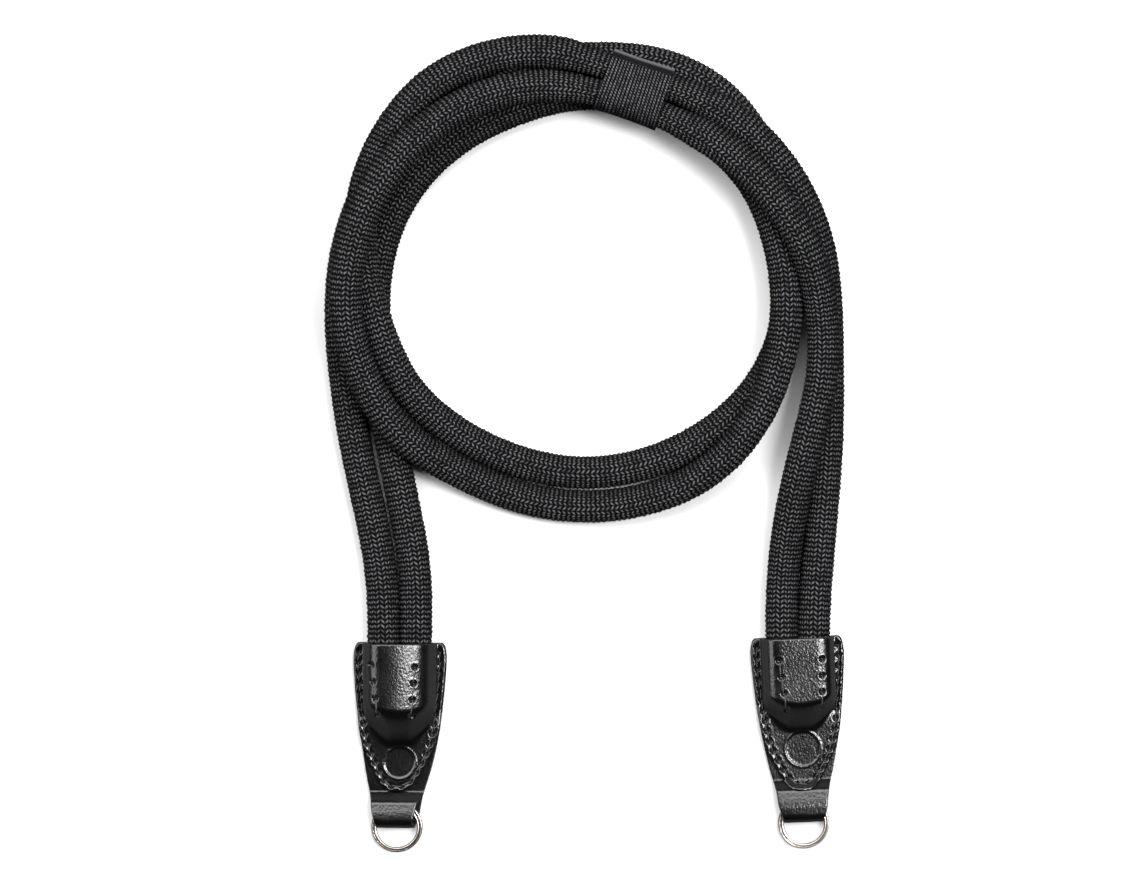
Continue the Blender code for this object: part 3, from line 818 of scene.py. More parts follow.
@dataclass
class BraidedRope:
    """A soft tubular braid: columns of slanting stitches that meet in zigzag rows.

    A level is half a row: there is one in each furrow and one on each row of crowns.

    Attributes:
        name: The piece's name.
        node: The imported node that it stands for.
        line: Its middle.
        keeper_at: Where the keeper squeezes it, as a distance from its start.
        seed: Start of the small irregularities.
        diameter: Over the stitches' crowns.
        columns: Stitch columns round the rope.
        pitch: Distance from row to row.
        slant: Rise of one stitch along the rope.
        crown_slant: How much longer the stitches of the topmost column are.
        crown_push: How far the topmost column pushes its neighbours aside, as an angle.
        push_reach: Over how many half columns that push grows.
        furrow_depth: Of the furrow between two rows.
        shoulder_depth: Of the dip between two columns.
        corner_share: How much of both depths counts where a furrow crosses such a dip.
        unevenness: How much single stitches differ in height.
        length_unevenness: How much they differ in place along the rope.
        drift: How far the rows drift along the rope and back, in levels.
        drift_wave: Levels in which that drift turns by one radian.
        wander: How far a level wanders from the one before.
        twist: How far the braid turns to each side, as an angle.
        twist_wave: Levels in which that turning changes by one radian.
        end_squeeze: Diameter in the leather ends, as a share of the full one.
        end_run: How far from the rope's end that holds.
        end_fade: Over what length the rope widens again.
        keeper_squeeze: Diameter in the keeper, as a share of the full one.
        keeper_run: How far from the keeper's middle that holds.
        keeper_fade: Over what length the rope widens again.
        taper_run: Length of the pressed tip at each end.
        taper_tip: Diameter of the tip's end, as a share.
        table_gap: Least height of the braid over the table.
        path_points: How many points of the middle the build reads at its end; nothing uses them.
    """

    name: str
    node: str
    line: RopeLine
    keeper_at: float
    seed: int
    diameter: float = 10.15 * MM
    columns: int = 32
    pitch: float = 1.47 * MM
    slant: float = 0.68 * MM
    crown_slant: float = 1.6
    crown_push: float = 0.12
    push_reach: float = 2.0
    furrow_depth: float = 0.34 * MM
    shoulder_depth: float = 0.16 * MM
    corner_share: float = 0.9
    unevenness: float = 0.07 * MM
    length_unevenness: float = 0.06 * MM
    drift: float = 0.2
    drift_wave: float = 27.0
    wander: float = 0.02
    twist: float = 0.2
    twist_wave: float = 173.0
    end_squeeze: float = 0.92
    end_run: float = 16.0 * MM
    end_fade: float = 8.0 * MM
    keeper_squeeze: float = 0.81
    keeper_run: float = 11.0 * MM
    keeper_fade: float = 14.0 * MM
    taper_run: float = 4.0 * MM
    taper_tip: float = 0.6
    table_gap: float = 0.02 * MM
    path_points: int = 90

    def narrowing(self, length: np.ndarray) -> np.ndarray:
        """How much the leather ends and the keeper squeeze the rope.

        Args:
            length: Distances along the rope.

        Returns:
            The rope's diameter there, as a share of the full one.
        """
        fits = []
        for middle, run, fade, narrow in (
            (0.0, self.end_run, self.end_fade, self.end_squeeze),
            (self.line.total, self.end_run, self.end_fade, self.end_squeeze),
            (self.keeper_at, self.keeper_run, self.keeper_fade, self.keeper_squeeze),
        ):
            away = (np.abs(length - middle) - run) / fade
            fits.append(1.0 - (1.0 - narrow) * (1.0 - smooth_step(away)))
        to_end = np.minimum(length, self.line.total - length)
        pressed = self.taper_tip + (1.0 - self.taper_tip) * smooth_step(to_end / self.taper_run)
        return np.minimum.reduce(fits) * pressed

    def surface(self) -> tuple[np.ndarray, np.ndarray, np.ndarray]:
        """Works out the braid's points.

        Each stitch has two points across it and two along it: one in the furrow and one on its crown.

        Returns:
            The grid of points, and the stitch coordinates across and along it.
        """
        chance = np.random.default_rng(self.seed)
        rows = round(self.line.total / self.pitch)
        levels = np.arange(2 * rows + 1)
        posts = np.arange(2 * self.columns)
        slow = np.cumsum(chance.normal(0.0, self.wander, len(levels)))
        slow -= np.linspace(slow[0], slow[-1], len(levels))
        drift = self.drift * np.sin(levels / self.drift_wave) + slow
        zigzag = np.where(posts % 4 == 0, 0.5, np.where(posts % 4 == 2, -0.5, 0.0))
        zigzag[[0, 2]] *= self.crown_slant
        length = (levels[:, None] + drift[:, None]) * self.pitch / 2 + zigzag[None, :] * self.slant
        length += chance.normal(0.0, self.length_unevenness, length.shape)
        length = np.clip(length, 0.0, self.line.total)
        furrow = (levels % 2 == 0)[:, None]
        post = (posts % 2 == 0)[None, :]
        drop = np.where(furrow, self.furrow_depth, 0.0) + np.where(post, self.shoulder_depth, 0.0)
        drop = np.where(furrow & post, self.corner_share * drop, drop)
        stitch = chance.normal(0.0, self.unevenness, (len(levels) // 2 + 1, self.columns))
        drop = drop + np.where(furrow, 0.0, stitch[levels // 2][:, posts // 2])
        radius = (self.diameter / 2 - drop) * self.narrowing(length)
        twist = self.twist * np.sin(levels / self.twist_wave + self.seed)
        from_crown = (posts - 1 + self.columns) % len(posts) - self.columns
        pushed = self.crown_push * (np.tanh(from_crown / self.push_reach) - from_crown / self.columns)
        angle = (math.pi * from_crown / self.columns + pushed)[None, :] + twist[:, None]
        middle = self.line.read(self.line.points, length)
        side = self.line.read(self.line.sides, length)
        back = self.line.read(self.line.backs, length)
        round_it = side * np.cos(angle)[..., None] + back * np.sin(angle)[..., None]
        points = middle + round_it * radius[..., None]
        points[..., 2] = np.maximum(points[..., 2], self.table_gap)
        return points, np.arange(2 * self.columns + 1) / 2, levels / 2

    def build(self) -> bpy.types.Object:
        """Returns:
            The rope's object.
        """
        points, across, along = self.surface()
        rope = skin(self.name, points, PlaitedNylon().material(), across, along, ring=True, capped=True)
        hand_over(rope, Slot.ROPE, self.node)
        places = np.linspace(0.0, self.line.total, self.path_points)
        tuple(self.line.read(self.line.points, 0.0))
        self.line.read(self.line.points, places).tolist()
        return rope


@dataclass
class KeeperBand:
    """A sleeve of ribbed nylon webbing, drawn tight round both ropes of the upper pass.

    Attributes:
        first: Middle of the rope on its upper side in the picture.
        second: Middle of the other rope.
        station: Where the band's middle is on the first rope.
        width: The webbing's width, along the ropes.
        inner_radius: Of the band's inner face round each rope.
        thickness: The webbing's thickness.
        ribs: Ribs across the width.
        stitches: Stitches of each rib, all the way round.
        start_share: Where the stitches are counted from, as a share of the girth before the first
            rope's outer side.
        rope_distance: Between the rope middles, in the band.
        furrow_depth: Between two stitches of a rib.
        rib_depth: Between two ribs.
    """

    first: RopeLine
    second: RopeLine
    station: float = 671.2 * MM
    width: float = 19.4 * MM
    inner_radius: float = 4.25 * MM
    thickness: float = 1.05 * MM
    ribs: int = 18
    stitches: int = 56
    start_share: float = 0.25
    rope_distance: float = 8.4 * MM
    furrow_depth: float = 0.2 * MM
    rib_depth: float = 0.12 * MM

    @property
    def outer_radius(self) -> float:
        """Radius of the band's outer face round each rope."""
        return self.inner_radius + self.thickness

    @property
    def girth(self) -> float:
        """Length once round the band, outside."""
        return math.tau * self.outer_radius + 2 * self.rope_distance

    def outline(
        self, where: np.ndarray, apart: float, radius: float
    ) -> tuple[np.ndarray, np.ndarray, np.ndarray, np.ndarray]:
        """Points on the rounded outline round two rope middles.

        Args:
            where: Shares of the outline's length, starting at the first rope's outer side.
            apart: Distance between the rope middles.
            radius: Of the outline round each middle.

        Returns:
            Distances across and up from the first rope's middle, and the outward direction.
        """
        quarter = math.pi / 2 * radius
        total = 4 * quarter + 2 * apart
        run = np.mod(where, 1.0) * total
        marks = np.cumsum([quarter, apart, 2 * quarter, apart])
        case = np.searchsorted(marks, run, side="right")
        local = run - np.concatenate([[0.0], marks])[case]
        cases = [case == k for k in range(4)]
        turn = np.select(
            cases,
            [math.pi - local / radius, math.pi / 2, math.pi / 2 - local / radius, -math.pi / 2],
            -math.pi / 2 - local / radius,
        )
        middle = np.select(cases, [0.0, local, apart, apart - local], 0.0)
        return middle + radius * np.cos(turn), radius * np.sin(turn), np.cos(turn), np.sin(turn)

    def row(self, share: float, radius: float, relief: np.ndarray, where: np.ndarray) -> np.ndarray:
        """One row of points round the band.

        Args:
            share: Place across the webbing's width, from 0 to 1.
            radius: Of the row round each rope.
            relief: Height of each point over that radius.
            where: Shares of the outline at which the points lie.

        Returns:
            The points, in the frame.
        """
        length = self.station + (share - 0.5) * self.width
        start = self.first.read(self.first.points, length)
        ahead = self.first.read(self.first.points, length + MM)
        partner = self.second.read(self.second.points, self.second.nearest(start))
        forward = (ahead - start) / np.linalg.norm(ahead - start)
        across = partner - start
        across = across - forward * np.dot(across, forward)
        apart = float(np.linalg.norm(across))
        across /= apart
        up = np.cross(forward, across)
        flat, high, flat_way, high_way = self.outline(where, apart, radius)
        flat = flat + flat_way * relief
        high = high + high_way * relief
        return start + flat[:, None] * across + high[:, None] * up

    def build(self) -> bpy.types.Object:
        """Makes the band: ribs outside, two square edges and a plain inner face.

        Each stitch has three points round the band, the first in its furrow, and each rib two rows.

        Returns:
            The band's object.
        """
        posts = np.arange(3 * self.stitches)
        where = posts / len(posts) - self.start_share
        furrows = np.where(posts % 3 == 0, self.furrow_depth, 0.0)
        rows = []
        for k in range(2 * self.ribs + 1):
            drop = furrows + (self.rib_depth if k % 2 == 0 else 0.0)
            rows.append(self.row(k / (2 * self.ribs), self.outer_radius, -drop, where))
        flat = np.zeros(len(posts))
        halfway = self.outer_radius - 0.5 * self.thickness
        inside = self.inner_radius
        for share, radius in ((1.0, halfway), (1.0, inside), (0.0, inside), (0.0, halfway)):
            rows.append(self.row(share, radius, flat, where))
        rows.append(rows[0])
        across = np.arange(len(posts) + 1) / 3
        along = np.arange(len(rows)) / 2
        band = skin("keeper_webbing", np.stack(rows), RibbedWebbing().material(), across, along, ring=True)
        hand_over(band, Slot.WEBBING, "keeper_band")
        return band


@dataclass
class KeeperHem:
    """The turned hem that closes the keeper's sleeve, over the first rope's upper side.

    Attributes:
        band: The band that it closes.
        start: Where it starts, as a distance round the band, up from the first rope's outer side.
        end: Where it ends.
        height: Of the rounded fold.
        fold_middle: Middle of that fold, as a share of the hem's width.
        fold_half: Half its width, as such a share.
        lift: Height of the rest over the band.
        sink: How far the hem reaches into the band, where it is sewn down.
        columns: Points across the hem.
        rows: Points along it.
    """

    band: KeeperBand
    start: float = -0.6 * MM
    end: float = 6.2 * MM
    height: float = 0.5 * MM
    fold_middle: float = 0.35
    fold_half: float = 0.32
    lift: float = 0.05 * MM
    sink: float = 0.3 * MM
    columns: int = 25
    rows: int = 30

    def build(self) -> bpy.types.Object:
        """Makes the hem.

        Returns:
            The hem's object.
        """
        share = np.linspace(0.0, 1.0, self.columns)
        where = -(self.start + share * (self.end - self.start)) / self.band.girth
        from_fold = (share - self.fold_middle) / self.fold_half
        turned = self.height * np.sqrt(np.clip(1.0 - from_fold**2, 0.0, 1.0)) + self.lift
        sunk = np.full_like(turned, -self.sink)
        rings = []
        for place in np.linspace(0.0, 1.0, self.rows):
            over = self.band.row(place, self.band.outer_radius, turned, where)
            under = self.band.row(place, self.band.outer_radius, sunk, where)
            rings.append(np.vstack([under, over[::-1]]))
        across = np.concatenate([share, share[::-1], share[:1]])
        along = np.arange(float(self.rows))
        finish = TurnedHem().material()
        hem = skin("keeper_hem", np.stack(rings), finish, across, along, ring=True, capped=True)
        hand_over(hem, Slot.WEBBING)
        return hem


# Half the width of a leather end, as a share of half its full width, at shares of its length.
END_OUTLINE: list[tuple[float, float]] = [
    # down, half width
    (0.000, 0.905), (0.010, 0.945), (0.026, 0.972), (0.052, 0.992), (0.095, 1.000), (0.180, 0.982),
    (0.285, 0.948), (0.390, 0.905), (0.520, 0.830), (0.640, 0.742), (0.750, 0.643), (0.850, 0.548),
    (0.930, 0.500), (0.950, 0.474),
]

# Half the width of the front's rounded tip, as a share of half the end's width, at shares of the
# front's own length.
FRONT_TIP: list[tuple[float, float]] = [
    # down, half width
    (0.727, 0.749), (0.800, 0.645), (0.862, 0.540), (0.890, 0.492), (0.916, 0.443), (0.945, 0.380),
    (0.970, 0.308), (0.989, 0.220), (0.998, 0.115),
]

# Distances from an edge at which the leather's meshes have a row, so that the edge comes out round.
FRONT_STEPS = np.array([0.0, 0.08, 0.2, 0.4]) * MM
BACK_STEPS = np.array([0.0, 0.1, 0.25, 0.45]) * MM

# How many points the front's edge and the dome's shoulder are read at.
EDGE_SAMPLES = 1600
SHOULDER_SAMPLES = 400

# Points of the dome's half profile: round the fillet, up the wall, over the shoulder, to the middle.
FILLET_POINTS = 7
WALL_POINTS = 4
SHOULDER_POINTS = 42
TOP_POINTS = 20

# Other counts of the leather meshes: points from the front's edge to the dome's foot, rings round the
# badge, rows round the fold, points across the back strap, and rings and sides of one stitch.
FLANGE_POINTS = 12
BADGE_RINGS = 44
FOLD_ROWS = 25
BACK_COLUMNS = 51
STITCH_RINGS = 9
THREAD_SIDES = 10


class Face(Enum):
    """A face of a leather layer: the one seen from above, or the one below it."""

    TOP = "top"
    UNDERSIDE = "underside"


class Side(Enum):
    """The two leather ends, as they lie in the picture."""

    LEFT = "left"
    RIGHT = "right"


@dataclass(frozen=True)
class SeamRow:
    """A short straight row of hand-punched holes beside the ropes.

    Attributes:
        first: The upper hole, as distances across and down from the middle of the upper edge.
        last: The lower hole.
        holes: How many there are.
    """

    first: tuple[float, float]
    last: tuple[float, float]
    holes: int = 4

    def places(self) -> np.ndarray:
        """The holes, as rows of across and down."""
        return np.linspace(self.first, self.last, self.holes)


@dataclass(frozen=True)
class EndPlace:
    """Where one leather end lies, and what sets it apart from the other.

    Attributes:
        side: Which end it is.
        across: X of the middle of its upper edge.
        along: Y of that point.
        turn: Its turn about Z, in radians.
        lean: How far its fold leans to the side.
        ring_aside: How far the ring lies to the side.
        ring_down: How far the ring hangs past the fold.
        crown: How far the dome's top rises over the ropes where it is highest.
        apex: Where it is highest, across.
        bend: How fast its slope grows away from there, in radians a metre.
        squareness: How square the dome's shoulders are: 2 is round.
        nose_start: Where the dome starts to fall, below the upper edge.
        nose_end: Where it has come down to the flat.
        front_length: From the upper edge to the front's tip.
        insets: From the edge to the stitches: on the left, at the tip and on the right.
        badge: Middle of the blank badge, across and down.
        badge_radius: Of the badge's raised rim.
        rows: The stitch rows beside the ropes.
        neck: Half the width of the leather at the fold.
        trim: How much narrower the flap is on its right side.
        early_rise: How much sooner the flap rises over the ring.
    """

    side: Side
    across: float
    along: float
    turn: float
    lean: float
    ring_aside: float
    ring_down: float
    crown: float
    apex: float
    bend: float
    squareness: float
    nose_start: float
    nose_end: float
    front_length: float
    insets: tuple[float, float, float]
    badge: tuple[float, float]
    badge_radius: float
    rows: tuple[SeamRow, ...]
    neck: float
    trim: float
    early_rise: float

    def named(self, rest: str) -> str:
        """The name of one of this end's pieces or nodes, from the part of it that both ends share."""
        return f"{self.side.value}_{rest}"

    def to_frame(self, across: np.ndarray, down: np.ndarray, up: np.ndarray) -> np.ndarray:
        """Puts points of the end into the frame.

        Args:
            across: Distances to the right of the end's axis.
            down: Distances below its upper edge.
            up: Heights over the table.

        Returns:
            The points, with three coordinates in the last axis.
        """
        cos, sin = math.cos(self.turn), math.sin(self.turn)
        x = self.across + across * cos + down * sin
        y = self.along + across * sin - down * cos
        return np.stack([x, y, up], axis=-1)


LEFT_END = EndPlace(
    side=Side.LEFT,
    across=-60.3 * MM,
    along=-57.9 * MM,
    turn=math.radians(-0.5),
    lean=-0.9 * MM,
    ring_aside=-0.5 * MM,
    ring_down=-0.3 * MM,
    crown=1.2 * MM,
    apex=-4.6 * MM,
    bend=27.0,
    squareness=2.5,
    nose_start=19.5 * MM,
    nose_end=32.5 * MM,
    front_length=45.0 * MM,
    insets=(1.5 * MM, 1.3 * MM, 2.1 * MM),
    badge=(0.35 * MM, 36.4 * MM),
    badge_radius=4.95 * MM,
    rows=(
        SeamRow((-8.3 * MM, 6.3 * MM), (-6.3 * MM, 21.2 * MM)),
        SeamRow((4.9 * MM, 6.9 * MM), (3.9 * MM, 21.6 * MM)),
    ),
    neck=5.65 * MM,
    trim=1.5 * MM,
    early_rise=0.0,
)
RIGHT_END = EndPlace(
    side=Side.RIGHT,
    across=60.1 * MM,
    along=-56.2 * MM,
    turn=math.radians(2.2),
    lean=0.0,
    ring_aside=0.0,
    ring_down=0.3 * MM,
    crown=0.5 * MM,
    apex=-6.0 * MM,
    bend=0.8,
    squareness=2.8,
    nose_start=19.0 * MM,
    nose_end=29.5 * MM,
    front_length=46.2 * MM,
    insets=(1.7 * MM, 1.6 * MM, 1.6 * MM),
    badge=(0.55 * MM, 33.9 * MM),
    badge_radius=5.5 * MM,
    rows=(
        SeamRow((-6.2 * MM, 6.5 * MM), (-4.4 * MM, 21.3 * MM)),
        SeamRow((6.9 * MM, 6.4 * MM), (6.3 * MM, 21.2 * MM)),
    ),
    neck=5.9 * MM,
    trim=0.0,
    early_rise=2.0 * MM,
)


@dataclass
class LeatherEnd:
    """A leather end: a back strap folded round the ring, and a front moulded over the two ropes.

    Local places are distances across to the right of its axis and down from its upper edge.

    Attributes:
        place: Where it lies, and what sets it apart from the other.
        length: From its upper edge to the tip of the fold.
        width: Where it is widest.
        thickness: Of the leather.
        layer_gap: Between two layers of it.
        rope_radius: Of the hollow over each rope.
        rope_spacing: Between the middles of the two hollows.
        nose_narrowing: Share of its width that the dome loses down to its nose.
        nose_bow: How much sooner the dome falls at its foot than in its middle.
        nose_softening: How fast the dome's square section turns soft on the way to its nose.
        soft_start: Where that soft section starts to fall, as a share of the dome's half width.
        soft_run: Over what share of it the section falls.
        foot_fillet: Radius of the fillet at the dome's foot.
        wall_slant: How much further out the dome's wall is at its foot than at its top.
        lean_start: Where the lean of the fold starts.
        fold_radius: Of the fold's inner face.
        flap_length: From the fold's tip back to the flap's end.
        flap_end_thickness: Of the flap, where the front covers it.
        skive_end: Where the flap has reached the leather's full thickness.
        skive_run: Over what length it gets there.
        steep_start: Where the flap's steep rise over the ring starts.
        steep_run: Length of that rise.
        steep_rounding: Of its two corners, as a share of its length.
        steep_share: Share of the whole rise that is steep.
        gentle_start: Where the rest of the rise starts.
        gentle_run: Length of the rest.
        front_climb: Over what length the front climbs on to the flap.
        trim_start: Where the flap's trimmed side starts.
        trim_run: Over what length it gets to its full trim.
        trim_turn: Turn of the fold at which the trim starts.
        trim_turning: Over what turn it gets to its full trim.
        ring_sag: How much lower than the fold's middle the ring lies.
        rim_width: Width of the front's rounded edge.
        rim_drop: How far that edge drops.
        upper_rim_width: Width of the rounding of the upper edge.
        upper_rim_drop: How far that edge drops.
        back_rim_width: Width of the back strap's rounded edges.
        back_rim_drop: How far those edges drop.
        lip_inset: From the front's edge to the lip that the creaser raised beside it.
        lip_width: Of that lip.
        lip_height: Of that lip.
        stitch_start: Where the seam along the edge starts.
        stitch_pitch: From hole to hole of that seam.
        hole_radius: Of the awl's holes.
        hole_depth: Of the dent round each one.
        hole_lip: Height of the lip round the dent, as a share of its depth.
        hole_lip_at: Radius of that lip, in radii of the hole.
        hole_lip_width: Its width, in such radii.
        groove_depth: Of the groove that the stitches lie in.
        groove_width: Of that groove.
        under_groove: How much deeper the groove is on the underside.
        badge_rim_width: Of the raised rim round the blank badge.
        badge_rim_height: Of that rim.
        badge_sink: How much lower the badge lies than the leather round it.
        badge_step: From the rim's middle to where the badge has come down.
        badge_step_run: Over what length it comes down.
        thread_radius: Of the sewing thread.
        thread_press: How far below the leather's face the thread's middle lies.
        thread_gap: Between the thread below and the table.
        thread_pinch: Share of its radius that the thread loses in the holes.
        stitch_slant: How far a stitch leans away from the seam's line, from end to end.
        stitch_sink: How far its ends go down into the holes.
        patch_start: Where the front's mesh changes from straight rows to rings round the badge.
        grid: Size of the front's mesh.
        grid_start: Where its even rows start.
        even_from: Where those rows start to leave the dome's profile, as a share of the nose's end.
        even_run: Over what share of it they turn even.
        back_grid: Length of the back strap's mesh rows.
        back_grid_start: Where its even rows start.
        flap_grid: Length of the flap's mesh rows.
        badge_reach: About how far the border of the rings is from the badge's middle.
        even_rings: Size of the first and of the last even ring, as a share of the border's.
        round_from: Share of the border's size at which the rings start to turn round.
        round_run: Over what share they do so.
        sharp_angle: Between two faces whose edge shows as a sharp one.
        edge_line: The front's edge, from the left end of its upper edge round the tip to the right one.
        stitch_line: The seam's line inside that edge.
        holes: The seam's holes, in its order.
    """

    place: EndPlace
    length: float = 56.2 * MM
    width: float = 28.3 * MM
    thickness: float = 1.3 * MM
    layer_gap: float = 0.05 * MM
    rope_radius: float = 4.8 * MM
    rope_spacing: float = 9.6 * MM
    nose_narrowing: float = 0.4
    nose_bow: float = 3.5 * MM
    nose_softening: float = 1.2
    soft_start: float = 0.3
    soft_run: float = 0.75
    foot_fillet: float = 0.5 * MM
    wall_slant: float = 0.15 * MM
    lean_start: float = 30.0 * MM
    fold_radius: float = 1.475 * MM
    flap_length: float = 30.0 * MM
    flap_end_thickness: float = 0.5 * MM
    skive_end: float = 48.8 * MM
    skive_run: float = 3.4 * MM
    steep_start: float = 45.2 * MM
    steep_run: float = 3.6 * MM
    steep_rounding: float = 0.04
    steep_share: float = 0.66
    gentle_start: float = 47.0 * MM
    gentle_run: float = 7.0 * MM
    front_climb: float = 6.0 * MM
    trim_start: float = 45.0 * MM
    trim_run: float = 5.5 * MM
    trim_turn: float = 1.2
    trim_turning: float = 1.9
    ring_sag: float = 0.25 * MM
    rim_width: float = 0.7 * MM
    rim_drop: float = 0.4 * MM
    upper_rim_width: float = 0.5 * MM
    upper_rim_drop: float = 0.3 * MM
    back_rim_width: float = 0.45 * MM
    back_rim_drop: float = 0.32 * MM
    lip_inset: float = 0.75 * MM
    lip_width: float = 0.5 * MM
    lip_height: float = 0.06 * MM
    stitch_start: float = 2.6 * MM
    stitch_pitch: float = 3.15 * MM
    hole_radius: float = 0.75 * MM
    hole_depth: float = 0.85 * MM
    hole_lip: float = 0.04
    hole_lip_at: float = 1.75
    hole_lip_width: float = 0.5
    groove_depth: float = 0.14 * MM
    groove_width: float = 0.5 * MM
    under_groove: float = 1.2
    badge_rim_width: float = 0.28 * MM
    badge_rim_height: float = 0.12 * MM
    badge_sink: float = 0.1 * MM
    badge_step: float = 0.8 * MM
    badge_step_run: float = 0.5 * MM
    thread_radius: float = 0.27 * MM
    thread_press: float = 0.1 * MM
    thread_gap: float = 0.02 * MM
    thread_pinch: float = 0.35
    stitch_slant: float = 0.45 * MM
    stitch_sink: float = 0.55 * MM
    patch_start: float = 28.0 * MM
    grid: float = 0.24 * MM
    grid_start: float = 0.6 * MM
    even_from: float = 0.8
    even_run: float = 0.15
    back_grid: float = 0.4 * MM
    back_grid_start: float = 0.5 * MM
    flap_grid: float = 0.3 * MM
    badge_reach: float = 10.0 * MM
    even_rings: tuple[float, float] = (0.93, 0.03)
    round_from: float = 0.62
    round_run: float = 0.3
    sharp_angle: float = math.radians(62.0)
    edge_line: np.ndarray = field(init=False)
    stitch_line: np.ndarray = field(init=False)
    holes: np.ndarray = field(init=False)

    def __post_init__(self) -> None:
        """Draws the front's edge, and the stitch line and its holes inside that edge."""
        half = self.width / 2
        front = self.place.front_length
        # The outline ends 2 mm above the tip's first point, so that the curve between is smooth.
        outline_end = FRONT_TIP[0][0] * front - 2.0 * MM
        side = [(wide * half, down * self.length) for down, wide in END_OUTLINE]
        side = [point for point in side if point[1] < outline_end]
        right = np.array(side + [(wide * half, down * front) for down, wide in FRONT_TIP])
        points = np.vstack([right * (-1, 1), [[0.0, front]], right[::-1]])
        self.edge_line = smooth_curve(points, EDGE_SAMPLES)
        share = np.linspace(0.0, 1.0, EDGE_SAMPLES)
        # The insets of the two sides hold up to 0.3 and from 0.7 of the edge, and the tip is its middle.
        at_left, at_tip, at_right = self.place.insets
        insets = (at_left, at_left, at_tip, at_right, at_right)
        inset = np.interp(share, (0.0, 0.3, 0.5, 0.7, 1.0), insets)
        heading = np.gradient(self.edge_line, axis=0)
        heading /= np.linalg.norm(heading, axis=1)[:, None]
        inward = np.stack([heading[:, 1], -heading[:, 0]], axis=1)
        line = self.edge_line + inward * inset[:, None]
        self.stitch_line = line[line[:, 1] > self.stitch_start]
        stitches = round(run_along(self.stitch_line)[-1] / self.stitch_pitch)
        self.holes = spread(self.stitch_line, stitches + 1)

    @property
    def base(self) -> float:
        """Level of the front's flat underside."""
        return self.thickness + self.layer_gap

    @property
    def fold_start(self) -> float:
        """Where the back strap starts to bend round the ring."""
        return self.length - self.fold_radius - self.thickness

    def half_width(self, down: np.ndarray | float) -> np.ndarray | float:
        """Half the width of the back strap at distances down."""
        rows = [(share * self.length, wide * self.width / 2) for share, wide in END_OUTLINE]
        table = np.array(rows + [(self.length, self.place.neck)])
        return natural_spline(table[:, 0], table[:, 1], np.clip(down, 0.0, self.length))

    def front_half_width(self, down: np.ndarray | float) -> np.ndarray | float:
        """Half the width of the front at distances down, above its tip."""
        right = self.edge_line[EDGE_SAMPLES // 2:][::-1]
        return np.interp(down, right[:, 1], right[:, 0])

    def leaned(self, across: np.ndarray, down: np.ndarray | float) -> np.ndarray:
        """Shifts distances across, more and more towards the leaning fold."""
        reach = self.fold_start - self.lean_start
        return across + self.place.lean * smooth_step((down - self.lean_start) / reach)

    def fading(self, down: np.ndarray | float) -> np.ndarray | float:
        """How much of the dome is gone: 0 over the ropes, 1 past its nose."""
        return smooth_step((down - self.place.nose_start) / (self.place.nose_end - self.place.nose_start))

    def dome_profile(self, face: Face) -> np.ndarray:
        """Half of the dome's profile, as rows of across and up, from its foot to the middle.

        Args:
            face: Which face of the leather the profile is for.

        Returns:
            The rows, with across falling to 0.
        """
        wall = self.thickness if face is Face.TOP else 0.0
        radius = self.rope_radius + wall
        middle = self.rope_spacing / 2
        level = self.rope_radius - wall
        foot = middle + radius
        turns = np.linspace(0.0, math.pi / 2, FILLET_POINTS)
        out = foot + self.wall_slant / 2 + self.foot_fillet * (1 - np.sin(turns))
        fillet = np.stack([out, self.foot_fillet * (1 - np.cos(turns))], axis=1)
        rise = np.linspace(0.0, 1.0, WALL_POINTS + 2)[1:-1]
        out = foot + self.wall_slant * (0.5 - rise)
        straight = np.stack([out, self.foot_fillet + (level - self.foot_fillet) * rise], axis=1)
        turns = np.linspace(0.0, math.pi / 2, SHOULDER_SAMPLES)
        bow = 2.0 / self.place.squareness
        arc = np.stack([np.cos(turns), np.sin(turns)], axis=1).clip(0.0) ** bow * radius
        shoulder = spread(arc + (middle, level), SHOULDER_POINTS)
        shoulder[0, 0] -= self.wall_slant / 2
        inward = np.linspace(middle, 0.0, TOP_POINTS + 1)[1:]
        top = np.stack([inward, np.full_like(inward, level + radius)], axis=1)
        return np.vstack([fillet, straight, shoulder, top])

    def dome_height(self, across: np.ndarray, down: np.ndarray, face: Face) -> np.ndarray:
        """Height of the dome over the flat rim at places on the front.

        Args:
            across: Distances across.
            down: Distances down.
            face: Which face of the leather it is for.

        Returns:
            The heights.
        """
        profile = self.dome_profile(face)[::-1]
        foot, peak = profile[-1, 0], profile[0, 1]
        past = self.fading(down + self.nose_bow * (across / foot) ** 2)
        reach = np.abs(across) / (1.0 - self.nose_narrowing * self.fading(down))
        hard = np.interp(reach, profile[:, 0], profile[:, 1], right=0.0)
        soft = peak * (1.0 - smooth_step((reach - self.soft_start * foot) / (self.soft_run * foot)))
        softness = gentle_step(past * self.nose_softening)
        bulge = self.place.crown - self.place.bend * (across - self.place.apex) ** 2 / 2
        return (1.0 - past) * (hard + softness * (soft - hard)) * (1.0 + bulge / peak)

    def flap_underside(self, down: np.ndarray) -> np.ndarray:
        """Works out the flap's lower face, which rises from the back strap over the ring.

        Args:
            down: Distances down.

        Returns:
            The face's level there.
        """
        reached = down + self.place.early_rise
        steep = rounded_ramp((reached - self.steep_start) / self.steep_run, self.steep_rounding)
        gentle = smooth_step((reached - self.gentle_start) / self.gentle_run)
        over = self.thickness + 2 * self.fold_radius
        return self.base + (gentle + self.steep_share * (steep - gentle)) * (over - self.base)

